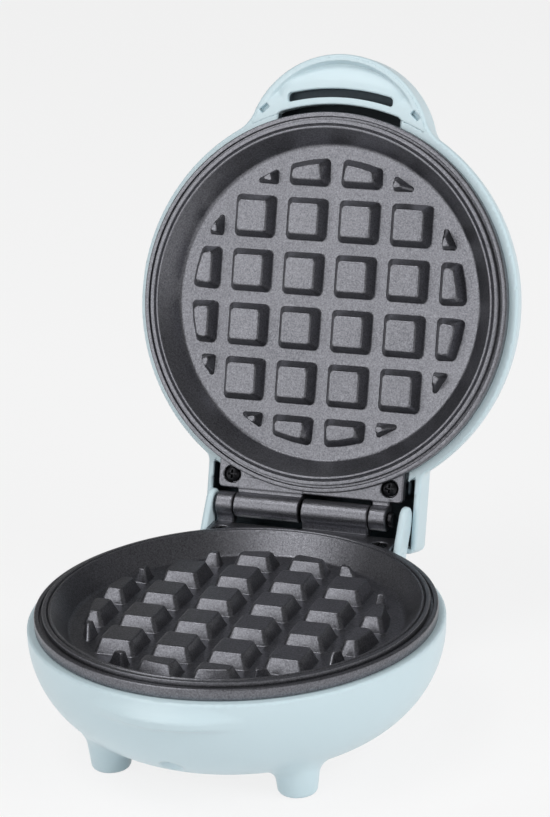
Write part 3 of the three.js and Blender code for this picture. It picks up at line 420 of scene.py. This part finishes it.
# %% A skin over a distance
def skin(field, low, high, step):
    """Points, faces and normals of the surface where the distance is zero."""
    axes = [np.arange(a - 2 * step, b + 2.5 * step, step) for a, b in zip(low, high)]
    solid = field(*np.meshgrid(*axes, indexing="ij", sparse=True)) < 0
    size = [n - 1 for n in solid.shape]
    corners = reduce(np.add, [
        solid[i:size[0] + i, j:size[1] + j, k:size[2] + k].astype(np.int8)
        for i, j, k in product((0, 1), repeat=3)])
    crossed = (corners > 0) & (corners < 8)
    number = np.cumsum(crossed).reshape(crossed.shape) - 1
    points = (np.argwhere(crossed) + 0.5) * step + [a[0] for a in axes]

    faces = []
    for axis in range(3):
        near = np.moveaxis(solid, axis, 0)[:-1, 1:-1, 1:-1]
        far = np.moveaxis(solid, axis, 0)[1:, 1:-1, 1:-1]
        cells = np.moveaxis(number, axis, 0)
        around = np.stack([cells[:, :-1, :-1], cells[:, 1:, :-1], cells[:, 1:, 1:],
                           cells[:, :-1, 1:]], axis=-1)
        turn = -1 if axis == 1 else 1
        faces += [around[near & ~far][:, ::turn], around[far & ~near][:, ::-turn]]
    faces = np.concatenate(faces)

    points = onto_surface(field, points, step, 4)
    for _ in range(4):
        points = evened(field, points, faces, step)
    return points, faces, facing(field, points, step)


ball = skin(lambda x, y, z: length(x, y, z) - 5, (-5, -5, -5), (5, 5, 5), 1)
print("a test ball:", len(ball[0]), "points,", len(ball[1]), "faces, radii",
      np.round([length(*ball[0].T).min(), length(*ball[0].T).max()], 3))

# %% [markdown]
# Turned shapes. The plates, the pin and the pads are round about an axis, so they are turned from
# a profile, as on a lathe. Each corner of the profile carries its own rounding: a real casting
# has no edge without one, and that edge is what catches the light.

# %% Turned shapes with rounded corners
def rounded(corners, steps=5):
    """A line through (across, up, rounding) corners, each rounded by that much."""
    places = [Vector(corner[:2]) for corner in corners]
    line = [places[0]]
    for before, here, after, corner in zip(places, places[1:], places[2:], corners[1:-1]):
        back, on = before - here, after - here
        reach = min(corner[2], back.length * 0.49, on.length * 0.49)
        start, end = here + back.normalized() * reach, here + on.normalized() * reach
        for share in np.linspace(0, 1, steps if reach > 0 else 1):
            line.append(start * (1 - share) ** 2 + here * 2 * share * (1 - share)
                        + end * share ** 2)
    return np.array([*line, places[-1]])


def circle(count, first=0.0):
    """Points all round a circle of radius 1; first is where they start, in steps."""
    angle = (np.arange(count) + first) * 2 * pi / count
    return np.stack([np.cos(angle), np.sin(angle)], axis=1)


def rings_faces(rings, sides):
    """Faces between rings of points that follow each other."""
    start = np.arange(rings - 1)[:, None] * sides
    here, there = np.arange(sides), (np.arange(sides) + 1) % sides
    return np.stack([start + here, start + here + sides, start + there + sides, start + there],
                    axis=-1).reshape(-1, 4)


def turned(line, sides):
    """A surface turned about Z from (radius, height) points that run round it clockwise."""
    round_x, round_y = circle(sides).T
    rings = np.stack([np.outer(line[:, 0], round_x), np.outer(line[:, 0], round_y),
                      np.repeat(line[:, 1:], sides, axis=1)], axis=-1)
    return rings.reshape(-1, 3), rings_faces(len(line), sides)


print("a rounded square corner has", len(rounded([(0, 0, 0), (1, 0, 0.2), (1, 1, 0)])), "points")

# %% [markdown]
# The shapes are made in millimetres in the frame of a plate, where the middle of the plate is the
# origin and the plate faces up. The lower frame stands upright. The upper frame is turned over
# and swung open about the hinge, so both halves can share their shapes.

# %% Frames of the two halves
millimetre = 0.001
hinge_y, hinge_z = 65.4, 2.7
rim_gap = 0.6 * millimetre

hinge_joint = frame["joints"][0]
hinge_at = Vector(hinge_joint["pos_m"])
hinge_place = Vector((0, hinge_y, hinge_z)) * millimetre
open_angle = radians(hinge_joint["range_deg"][1])

to_metres = Matrix.Scale(millimetre, 4)
lower_frame = Matrix.Translation(hinge_at - hinge_place) @ to_metres
upper_frame = (Matrix.Translation(hinge_at) @ Matrix.Rotation(-open_angle, 4, "X")
               @ Matrix.Translation((0, -hinge_place.y, rim_gap - hinge_place.z))
               @ Matrix.Rotation(pi, 4, "Y") @ to_metres)
halves = {"base": lower_frame, "lid": upper_frame}
print("the hinge is at", [round(v, 4) for v in hinge_at], "m; the lid stands open by",
      round(hinge_joint["range_deg"][1], 1), "degrees")

# %% [markdown]
# One function turns shapes into a piece. A shape brings its points and faces, and its normals
# when they are known exactly.

# %% How a piece is made
sharp_angle = radians(32)
shade_reach = 0.25


def added(name, points, faces, materials):
    """A smooth object in the scene."""
    mesh = bpy.data.meshes.new(name)
    mesh.from_pydata(points.tolist(), [], faces)
    mesh.shade_smooth()
    for material in materials:
        mesh.materials.append(material)
    made = bpy.data.objects.new(name, mesh)
    bpy.context.scene.collection.objects.link(made)
    return made


def piece(name, body, slot, shapes, nodes, inside=None):
    """A named piece from shapes in a plate's frame.

    Where inside, a distance, is small at the middle of a face, that face gets painted shade.
    """
    points, faces, normals, first = [], [], [], 0
    for shape in shapes:
        points.append(shape[0])
        faces += [[int(i) + first for i in face] for face in shape[1]]
        normals.append(shape[2] if len(shape) > 2 else np.zeros_like(shape[0]))
        first += len(shape[0])
    points, normals = np.concatenate(points), np.concatenate(normals)
    placed = np.array(halves[body])
    made = added(name, points @ placed[:3, :3].T + placed[:3, 3], faces,
                 [finishes[slot].material])
    mesh = made.data
    mesh.set_sharp_from_angle(angle=sharp_angle)
    if normals.any():
        normals = normals @ (placed[:3, :3] / millimetre).T
        mesh.normals_split_custom_set_from_vertices(normals.tolist())
    if inside:
        # Faces near the hollow get the dark finish that paints shade on them.
        mesh.materials.append(painted_shade_finish.material)
        shaded_faces = inside(*points[np.array(faces)].mean(axis=1).T) < shade_reach
        mesh.polygons.foreach_set("material_index", shaded_faces.astype(np.int32))
    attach(made, body)
    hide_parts(*nodes)
    print(name, "has", len(mesh.vertices), "points")


print("an edge is sharp from", round(sharp_angle, 2), "radians on")

# %% [markdown]
# The waffle plates. They are die-cast in aluminium: a floor, a sloping side and a rim with two
# grooves that takes up batter. All of it is round, so one turned profile makes it. The numbers
# are radius, height and the rounding of that corner.

# %% Profile of a plate
plate_floor, plate_under, plate_sides = -6.8, -9.5, 224
plate_line = rounded([
    (0.02, plate_floor, 0), (49.5, plate_floor, 0.9), (54.4, 0, 0.4), (55.0, 0, 0.15),
    (55.4, -0.8, 0.15), (55.8, 0, 0.15), (57.0, 0, 0.25), (57.05, -2, 0.15), (57.85, -2, 0.15),
    (57.9, -1.1, 0.25), (59.4, -1.1, 0.5), (59.4, -4.4, 0.25), (57.6, -4.4, 0.1),
    (57.6, -3.4, 0.1), (55, -3.4, 0.5), (50.85, -9.35, 0.4), (49.5, plate_under, 0.5),
    (0.02, plate_under, 0)])
disc_shape = turned(plate_line, plate_sides)
print("points round the plate and along its profile:", plate_sides, len(plate_line))

# %% [markdown]
# The pegs press the squares into a waffle. They stand on a square grid, and those at the side are
# trimmed by a circle, so each is lofted: one outline of the foot is drawn in again and again
# while the height rises. An outline is a trimmed square with round corners, found by asking, for
# each of many directions, which of its corners reaches farthest.

# %% Outline of a peg at any height
peg_pitch, peg_count, peg_half, peg_trim, peg_sides = 17.15, 6, 6.9, 45.4, 48
peg_corner, small_peg_corner, least_corner = 1.8, 0.9, 0.5
directions = circle(peg_sides, 0.5)
fine_circle = circle(720)


def trimmed_square(middle, half, trim):
    """Corners of a square that is trimmed by a circle round the middle of the plate."""
    corners = np.array([(x, y) for x in (-half, half) for y in (-half, half)]) + middle
    corners = corners[np.hypot(*corners.T) <= trim]
    on_circle = fine_circle * trim
    return np.concatenate([corners, on_circle[(np.abs(on_circle - middle) <= half).all(axis=1)]])


def peg_reach(middle, corner):
    """How far an outline can be drawn in before nothing is left of it."""
    insets = np.arange(0, 3.3, 0.02)
    left = [len(trimmed_square(middle, peg_half - d - corner, peg_trim - d - corner)) > 0
            for d in insets]
    return insets[left][-1]


def peg_outline(middle, inset, corner):
    inner = trimmed_square(middle, peg_half - inset - corner, peg_trim - inset - corner)
    return inner[(directions @ inner.T).argmax(axis=1)] + directions * corner


whole_peg, side_peg = np.array([0.5, 0.5]) * peg_pitch, np.array([2.5, 1.5]) * peg_pitch
print("a whole peg can be drawn in by", round(peg_reach(whole_peg, peg_corner), 2),
      "mm, one at the side by", round(peg_reach(side_peg, least_corner), 2), "mm")

# %% [markdown]
# A peg's side is one more profile, of how far the outline is drawn in at each height: 2.05 mm at
# the edge of the top and a quarter of a millimetre at the floor. The line goes a little under
# the floor, so that no gap can open there.

# %% Pegs
peg_top, edge_inset = -2.4, 2.15
peg_line = rounded([(3.2, peg_top, 0), (2.05, peg_top, 0.5), (0.25, plate_floor, 0.5),
                    (-0.4, -6.82, 0)], 6)
trial_corner, small_reach = 1.6, 1.2


def peg(middle):
    """A peg; a very small one has tighter corners and steeper sides, so that its tip stays."""
    foot_corner, steep = peg_corner, 1
    if peg_reach(middle, trial_corner) < small_reach:
        foot_corner = small_peg_corner
        steep = peg_reach(middle, small_peg_corner) / edge_inset
    rings = []
    for inset, height in peg_line:
        inset = inset * steep
        corner = max(foot_corner - inset * 0.3, least_corner)
        inset = min(inset, peg_reach(middle, corner))
        rings.append(np.column_stack([peg_outline(middle, inset, corner),
                                      np.full(peg_sides, height)]))
    faces = rings_faces(len(rings), peg_sides).tolist() + [list(range(peg_sides))]
    return np.concatenate(rings), faces


peg_places = (np.arange(peg_count) - (peg_count - 1) / 2) * peg_pitch
pegs = [peg(np.array([x, y])) for x in peg_places for y in peg_places
        if np.hypot(abs(x) - peg_half, abs(y) - peg_half) < peg_trim - trial_corner]
print("pegs on a plate:", len(pegs))

# %% [markdown]
# Behind each plate a flange and two hinge barrels are part of the same casting. The barrels of
# one plate stand between those of the other, and a pin runs through all four. Cast edges are
# soft, so this is a distance: a slab, a web that rises from it and a bar for each barrel, joined
# with small fillets, less the bore and the two screw holes.

# %% Flange and barrels
flange_low, flange_high = -5.2, -2.2
barrel_radius, bore = 3.9, 1.8
screw_x, screw_y = 26, 56
head_room, head_seat = 2.75, -4.2


def flange_field(back, knuckles, height):
    """The distance from the flange of one plate, with its knuckles at a height."""
    front, lean = 62.9, barrel_radius * 0.7071
    web = [(back - 3.4, flange_low), (back + 1.1, flange_low), (hinge_y + 2.76, height - lean),
           (hinge_y, height), (front, height), (front - 0.1, flange_high),
           (back - 3.4, flange_high)]

    def field(x, y, z):
        plan = round_corner(np.abs(x) - 28.9, y - back + 1.5, 1.5)
        plan = np.maximum(plan, 57.5 - length(x, y))
        casting = keep(plan, between(z, flange_low, flange_high), 0.35)
        from_pin = length(y - hinge_y, z - height)
        side = join(from_pin - barrel_radius, outline(y, z, web), 0.6)
        for left, right in knuckles:
            casting = join(casting, keep(side, between(x, left, right), 0.35), 0.5)
        casting = np.maximum(casting, bore - from_pin)
        for place in (-screw_x, screw_x):
            around = length(x - place, y - screw_y)
            casting = cut(casting, np.maximum(around - head_room, head_seat - z), 0.25)
            casting = np.maximum(casting, bore - around)
        return casting
    return field


flange_half, flange_step = 30.4, 0.45
casts = (("lower", "base", 62.3, hinge_z, [(-29.8, -24.1), (-1.3, 20.4)], (flange_low, 6.6)),
         ("upper", "lid", 60.3, -2.1, [(-26.3, -20.7), (2.3, 23.8)], (-6, 1.8)))
for label, body, back, height, knuckles, (low, high) in casts:
    cast = skin(flange_field(back, knuckles, height),
                (-flange_half, 47, low), (flange_half, 69.3, high), flange_step)
    piece(f"waffle_plate_{label}", body, "nonstick", [disc_shape, *pegs, cast],
          [f"{label}_plate"])

# %% [markdown]
# Both shells start from a bowl: a quarter circle that runs from the straight rim into a flat or
# slightly domed bottom. The distance from it needs only the radius and the height of a point.

# %% The bowl of a shell
shell_rim, shell_step = -4.7, 0.8
ledge_inner, ledge_low, ledge_root = 56.8, -7.1, -9.3


def bowl(x, y, z, radius, arc, turn, crown=0.0):
    """The distance from a solid bowl that is open upwards without end."""
    around = length(x, y)
    flat = radius - arc
    domed = crown * np.maximum(1 - (around / flat) ** 2, 0)
    out, down = around - flat, turn - z - domed
    inner = np.minimum(np.maximum(out, down), 0)
    return length(np.maximum(out, 0), np.maximum(down, 0)) + inner - arc


def shade_room(room):
    """The distance from a shell's hollow without its top, where the painted shade goes on."""
    return lambda x, y, z: np.maximum(room(x, y, z), z + 5.6)


base_bowl, base_room_bowl = (61.6, 31.4, -6.6), (59.4, 29.2, -6.6)
lid_bowl, lid_room_bowl = (62, 23.4, -6.2, 0.8), (59.8, 21.2, -6.2, 0.8)
print("a point at the bottom of the base's bowl lies at", round(float(
    bowl(0.0, 0.0, base_bowl[2] - base_bowl[1], *base_bowl)), 3))

# %% [markdown]
# The base. It is moulded with a block behind the bowl that holds the cord's inlet and carries the
# hinge, a lip to lift the base by, and four feet. The lip and the feet are flat outlines turned
# about their own axes, and fillets let them grow out of the wall.

# %% Outside of the base
foot_places = [(-28.8, -31.5), (28.8, -31.5), (-24.5, 55.5), (24.5, 55.5)]
foot_end = -41.4
foot_line = [(-9, foot_end), (4.45, foot_end), (6.25, -26.7), (6.25, -22), (-9, -22)]
lip_y = -30.4
lip_line = [(-1, -5.9), (29.9, -5.9), (32.9, -10.0), (32.6, -11.6), (29.6, -12.9), (-1, -12.9)]


def block(x, y, z, inset):
    """The rear block, or its hollow when it is inset by the wall."""
    half, back, corner = 33 - inset, 62.6 - inset, 4 - inset
    plan = round_corner(np.abs(x) - half + corner, y - back + corner, corner)
    plan = np.maximum(plan, 30 - y)
    side = outline(y, z, [(20, 9), (20, inset - 36), (back - 5.6, inset - 36),
                          (back, inset - 32.5), (back, 9)])
    return keep(plan, side, 1.2)


def base_outside(x, y, z):
    body = join(bowl(x, y, z, *base_bowl), np.maximum(block(x, y, z, 0), z + 5.5), 1.3)
    body = join(body, outline(length(x, y - lip_y), z, lip_line) - 1.0, 1.6)
    for at in foot_places:
        body = join(body, outline(length(x - at[0], y - at[1]), z, foot_line) - 1.4, 2.6)
    return body


def base_room(x, y, z):
    return join(bowl(x, y, z, *base_room_bowl), block(x, y, z, 2.2))


print("a point in the middle of the base lies", round(float(-base_outside(0.0, 0.0, -20.0)), 1),
      "mm under its outside")

# %% [markdown]
# Two arms hide the ends of the pin. The side of an arm is an eye round the pin and a foot on the
# block, joined as a rubber band would lie round both, which is what wrapped works out.

# %% Arms of the base
arm_inside, arm_outside = 30.7, 33


def wrapped(points):
    """The corners of the smallest shape without a dent round some points."""
    points, line = sorted(map(tuple, points)), []
    for run in (points, points[::-1]):
        side = []
        for place in run:
            while len(side) > 1 and ((side[-1][0] - side[-2][0]) * (place[1] - side[-2][1])
                                     <= (side[-1][1] - side[-2][1]) * (place[0] - side[-2][0])):
                side.pop()
            side.append(place)
        line += side[:-1]
    return line


eye = circle(32) * 4.4 + [hinge_y, hinge_z]
arm_line = wrapped([*eye, (52.5, -7.3), (52.5, -14), (58, -14), (58, -7.3)])
print("corners of an arm's outline:", len(arm_line))

# %% [markdown]
# The whole base is the outside with what a mould and a drill would take away. A ledge inside the
# rim carries the plate, bosses take the screws, two stops hold the open lid, and a scoop in the
# lip lets a finger under.

# %% The whole base
boss_foot, pad_seat = -34.9, 3.4
bosses = (((screw_x, screw_y), 4.0, bore, -5.5), ((8.6, 53), 3.0, 1.6, -19.4))
inlet_z, inlet_radius = -22.6, 5
scoop_reach, scoop_turn, scoop_radius = 34, radians(47), 4.4


def moulded_base(x, y, z):
    shell = keep(base_outside(x, y, z), z - shell_rim, 0.55)
    shell = cut(shell, base_room(x, y, z), 0.3)
    ledge = [(ledge_inner, ledge_low), (60.5, ledge_root), (60.5, shell_rim),
             (ledge_inner, shell_rim)]
    shell = join(shell, outline(length(x, y), z, ledge))
    for at, radius, hole, top in bosses:
        boss = np.maximum(np.maximum(post(np.abs(x), y, radius, at), boss_foot - z), z - top)
        shell = join(shell, boss, 0.6)
        shell = cut(shell, np.maximum(post(np.abs(x), y, hole, at), top - 7 - z))
    flange_room = cuboid((x, y, z), (-arm_inside, 40, -5.5), (arm_inside, 80, 0))
    stops = cuboid((np.abs(x), y, z), (9, 58, -12), (17, 64.29, -6.9), 0.6)
    arms = keep(outline(y, z, arm_line), between(np.abs(x), arm_inside, arm_outside), 0.8)
    return join(join(cut(shell, flange_room, 0.3), stops, 0.8), arms, 1)


def drilled_base(x, y, z):
    """The base with the seats of the pads, the cord's inlet and the scoop in the lip."""
    shell = moulded_base(x, y, z)
    for at in foot_places:
        shell = cut(shell, np.maximum(post(x, y, pad_seat, at), z - foot_end), 0.2)
    shell = cut(shell, np.maximum(length(x, z - inlet_z) - inlet_radius, 55 - y), 0.4)
    out, down = scoop_reach * cos(scoop_turn), scoop_reach * sin(scoop_turn)
    scoop = length(x + 1.6, y + 30.2 + out, z + 6.6 + down) - scoop_radius
    return cut(shell, scoop, 0.4)


base_skin = skin(drilled_base, (-62, -65, -43), (62, 71, 8), shell_step)
# The hollow of the base gets painted shade.
piece("casing_base", "base", "casing", [base_skin], ["base_shell"], inside=shade_room(base_room))

# %% [markdown]
# The lid. It is a shallower bowl turned over, with a slightly domed top, a box at the back that
# clears the hinge, and a half-round handle at the front. The handle is hollow, and a panel closes
# it.

# %% Outside of the lid
handle_at = (0, -47.4)


def rear_box(x, y, z, inset):
    half, back = 35.4 - inset, 76.1 - inset
    corner, edge, rear = 3.6 - inset, 8 - inset, 9 - inset
    plan = round_corner(np.abs(x) - half + corner, y - back + corner, corner)
    plan = np.maximum(plan, 30 - y)
    down = inset - 20.5 - z
    across = round_corner(np.abs(x) - half + edge, down + edge, edge)
    side = round_corner(y - back + rear, down + rear, rear)
    return keep(keep(plan, across, 0.6), side, 0.6)


def handle_puck(x, y, z, inset):
    return bowl(x, y - handle_at[1], z, 30.3 - inset, 4.6 - inset, -13.7, 1.5)


def lid_outside(x, y, z):
    body = join(bowl(x, y, z, *lid_bowl), handle_puck(x, y, z, 0), 2.6)
    return join(body, rear_box(x, y, z, 0), 1.5)


def lid_room(x, y, z):
    room = join(bowl(x, y, z, *lid_room_bowl), rear_box(x, y, z, 2.1))
    return join(room, handle_puck(x, y, z, 1.5))


print("the lid's dome stands",
      round(shell_rim - lid_bowl[2] + lid_bowl[1] + lid_bowl[3], 1), "mm over its rim")

# %% [markdown]
# The whole lid, in two steps: the shell with its ledge, which is open at the front for the
# handle's panel, and then the room for the hinge, the bosses, the ribs and the lamp's hole.

# %% The whole lid
lamp_at, lamp_hole = (0, -18), 4.3


def lid_wall(x, y, z):
    shell = keep(lid_outside(x, y, z), z - shell_rim, 0.9)
    shell = cut(shell, lid_room(x, y, z), 0.3)
    ledge = [(ledge_inner, ledge_low), (60.9, ledge_root), (61.7, ledge_root),
             (61.7, shell_rim), (ledge_inner, shell_rim)]
    front_gap = cuboid((x, y, z), (-20, -64, -11.3), (20, -31, 0))
    shell = join(shell, np.maximum(outline(length(x, y), z, ledge), -front_gap))
    panel_room = np.maximum(post(x, y, 28.8, handle_at), 62 - length(x, y))
    return cut(shell, np.maximum(panel_room, -9.5 - z), 0.05)


def lid_field(x, y, z):
    shell = lid_wall(x, y, z)
    shell = cut(shell, cuboid((x, y, z), (-arm_inside, 40, -5.5), (arm_inside, 74.1, 0)), 0.25)
    shell = cut(shell, cuboid((x, y, z), (-33.3, 57.6, -9.3), (33.3, 74.1, 0)), 0.25)
    boss = np.maximum(post(np.abs(x), y, 4, (screw_x, screw_y)), -19.5 - z)
    rib = cuboid((np.abs(x), y, z), (arm_inside, 50.6, -16.6), (31.8, 57.6, -5.5))
    shell = join(join(shell, np.maximum(boss, z + 5.5), 0.6), rib, 0.4)
    hole = post(np.abs(x), y, bore, (screw_x, screw_y))
    shell = cut(shell, np.maximum(hole, -17.5 - z))
    return cut(shell, np.maximum(post(x, y, lamp_hole, lamp_at), z + 25), 0.25)


lid_skin = skin(lid_field, (-62, -78, -31), (62, 77, -4), shell_step)
# The hollow of the lid gets painted shade.
piece("casing_lid", "lid", "casing", [lid_skin], ["lid_shell"], inside=shade_room(lid_room))

# %% [markdown]
# The panel under the handle. Fingers rest in its shallow dish, so the dish runs out softly to the
# rim and to the raised bar. The slot beside the bar lets steam past the fingers, and a small
# pocket in each corner could give a tool a hold on the panel.

# %% Panel of the handle
pocket_turn = radians(48)


def eased(value, low, high):
    """0 below low, 1 above high and a soft S between."""
    share = np.clip((value - low) / (high - low), 0, 1)
    return share * share * (3 - 2 * share)


def panel_field(x, y, z):
    around, along = length(x, y), length(x, y - handle_at[1])
    slot = round_corner(between(around, 65.2, 65.9), between(x, -16.2, 16.2), 1)
    bank = np.minimum(slot, around - 64.2)
    dish = 2.3 * eased(28.8 - along, 0.5, 1.6) * eased(bank, 0.8, 8.5)
    near = 61.95 - 0.75 * eased(np.abs(x), 19, 21)
    body = keep(near - around, (z + 4.67 + dish) * 0.9, 0.45)
    body = np.maximum(np.maximum(body, along - 29.4), -9.2 - z)
    body = cut(body, np.maximum(slot, -8.6 - z), 0.45)
    from_x, from_y = np.abs(x) - 24.9, y + 59.6
    wide = from_x * cos(pocket_turn) - from_y * sin(pocket_turn)
    high = from_x * sin(pocket_turn) + from_y * cos(pocket_turn)
    return cut(body, cuboid((wide, high, z), (-0.8, -1.7, -6.6), (0.8, 1.5, 0), 0.3), 0.35)


# The floor of the slot is painted with shade: it gets the dark finish of the shells' hollows.
def shaded_slot_floor(x, y, z):
    slot = np.maximum(between(length(x, y), 64.2, 66.9), between(x, -17.2, 17.2))
    return np.maximum(slot, z + 6.6)


panel_skin = skin(panel_field, (-29.5, -77, -9.2), (29.5, -54, -4.6), 0.42)
piece("panel_of_handle", "lid", "casing", [panel_skin], ["handle_panel"], inside=shaded_slot_floor)

# %% [markdown]
# Screws hold each plate down. Their heads are low domes with a cross recess, sunk in the flange.
# A cross is two flat cuts into a dome, which a distance gives with a soft edge.

# %% Plate screws
head_radius, head_low, head_high = 2.4, -3.9, -1.7
arm_wide, arm_long = 0.36, 1.45


def screw_field(x, y, z):
    dome = length(x, y, z + 5.25) - 3.55
    head = keep(keep(length(x, y) - head_radius, dome, 0.25), head_low - z, 0.15)
    cross = np.minimum(np.maximum(np.abs(x) - arm_wide, np.abs(y) - arm_long),
                       np.maximum(np.abs(y) - arm_wide, np.abs(x) - arm_long))
    return cut(head, np.maximum(cross + (z - head_high) * -0.12, -3.0 - z), 0.06)


def moved(shape, x, y):
    return (shape[0] + [x, y, 0], *shape[1:])


head_skin = skin(screw_field, (-head_radius, -head_radius, head_low),
                 (head_radius, head_radius, head_high), 0.13)
shank = turned(rounded([(0.02, -3.8, 0), (1.5, -3.8, 0.1), (1.5, -14.4, 0.6), (0.8, -15.9, 0.2),
                        (0.02, -15.9, 0)]), 24)
for body, label, left_x in (("base", "lower", -screw_x), ("lid", "upper", screw_x)):
    for side, x in (("left", left_x), ("right", -left_x)):
        piece(f"screw_{label}_{side}", body, "black_steel",
              [moved(head_skin, x, screw_y), moved(shank, x, screw_y)],
              [f"{label}_plate_screw_{side}"])

# %% [markdown]
# The hinge pin is a plain rod with a flat head, pushed in from one side. The rubber pads under
# the feet are small turned discs, glued into shallow seats.

# %% Hinge pin and foot pads
rod = rounded([(0.02, -30.1, 0), (1.7, -30.1, 0.5), (1.7, 26.6, 0.1), (2.4, 26.6, 0.3),
               (2.4, 28.2, 0.5), (0.02, 28.2, 0)])[::-1]
rod_points, rod_faces = turned(rod, 48)
lying_rod = rod_points[:, [2, 0, 1]] + [0, hinge_y, hinge_z]
piece("pin_of_hinge", "base", "black_steel", [(lying_rod, rod_faces)], ["hinge_pin"])

pad_line = rounded([(0.02, -41.7, 0), (3.1, -41.7, 0.3), (3.1, -43, 0.45), (0.02, -43, 0)])
pad_names = ("front_left", "front_right", "rear_left", "rear_right")
for name, (x, y) in zip(pad_names, foot_places):
    piece(f"pad_{name}", "base", "pad", [moved(turned(pad_line, 48), x, y)], [f"foot_pad_{name}"])

# %% [markdown]
# The floor and the light. The picture has a pale, nearly shadowless background. The floor is a
# matt sheet that is lit like everything else, and what the camera and the reflections see of it
# is mixed with its own pale colour, so that a faint shadow stays under the feet.

# %% Floor
own_share, own_tone = 0.87, 0.955
pale = Finish("pale_floor", Roughness=1.0, Specular_IOR_Level=0.0)
pale.vary(Base_Color=pale.noise(0.4).between((0.87, 0.87, 0.875), (0.9, 0.9, 0.905)))
camera_ray, glossy_ray, through_ray = [
    pale.start.node("ShaderNodeLightPath", out=f"Is {kind} Ray")
    for kind in ("Camera", "Glossy", "Transmission")]
seen = pale.start.math("MAXIMUM", camera_ray, glossy_ray)
seen = pale.start.math("MAXIMUM", seen, through_ray)
glow = pale.start.node("ShaderNodeEmission", sockets={
    "Color": (own_tone, own_tone, own_tone, 1), "Strength": 1.0})
mixed = pale.start.node("ShaderNodeMixShader", sockets={
    0: seen * own_share, 1: Value(pale.tree, pale.shader.outputs[0]), 2: glow})
pale.tree.links.new(mixed.socket, pale.tree.nodes["Material Output"].inputs["Surface"])

sweep = rounded([(0.001, 0, 0), (9, 0, 1.2), (9.6, 1.5, 0)], 8)
floor_points, floor_faces = turned(sweep, 64)
floor = added("floor", floor_points, floor_faces.tolist(), [pale.material])
print("floor:", [round(v, 1) for v in floor.dimensions[:2]], "m")

# %% [markdown]
# Three large soft lamps do what a small studio does. The main one stands at the left in front and
# is mirrored in the upper plate, and one above it puts a shine on the barrels and on the sloping
# side of the lower plate. The one at the right opens the shadows and isn't seen as a reflection,
# and the world fills the rest.

# %% Lamps and world
lamps_face = Vector((0, 0, 0.08))
world_strength = 0.13


def softbox(name, azimuth, elevation, distance, size, watts, mirrored=True):
    """A lamp that faces the object, at an azimuth counted from the front to the right."""
    lamp_data = bpy.data.lights.new(name, "AREA")
    lamp_data.shape = "RECTANGLE"
    lamp_data.size, lamp_data.size_y = size
    lamp_data.energy = watts
    turn = Matrix.Rotation(radians(azimuth), 4, "Z")
    turn @= Matrix.Rotation(radians(90 - elevation), 4, "X")
    lamp = bpy.data.objects.new(name, lamp_data)
    lamp.matrix_world = Matrix.Translation(lamps_face) @ turn @ Matrix.Translation((0, 0, distance))
    lamp.visible_glossy = mirrored
    bpy.context.scene.collection.objects.link(lamp)


softbox("main_lamp", -29, 23, distance=1.3, size=(1.0, 0.95), watts=6.4)
softbox("top_lamp", -40, 66, distance=1.5, size=(0.7, 0.7), watts=6.6)
softbox("fill_lamp", 76, 28, distance=1.5, size=(1.0, 1.0), watts=15, mirrored=False)
world = bpy.data.worlds.new("studio")
world.use_nodes = True
background = world.node_tree.nodes["Background"].inputs
background["Color"].default_value = (1, 1, 1, 1)
background["Strength"].default_value = world_strength
bpy.context.scene.world = world
print("lamps:", [light.name for light in bpy.data.lights])

# %% The end
bpy.context.view_layer.update()
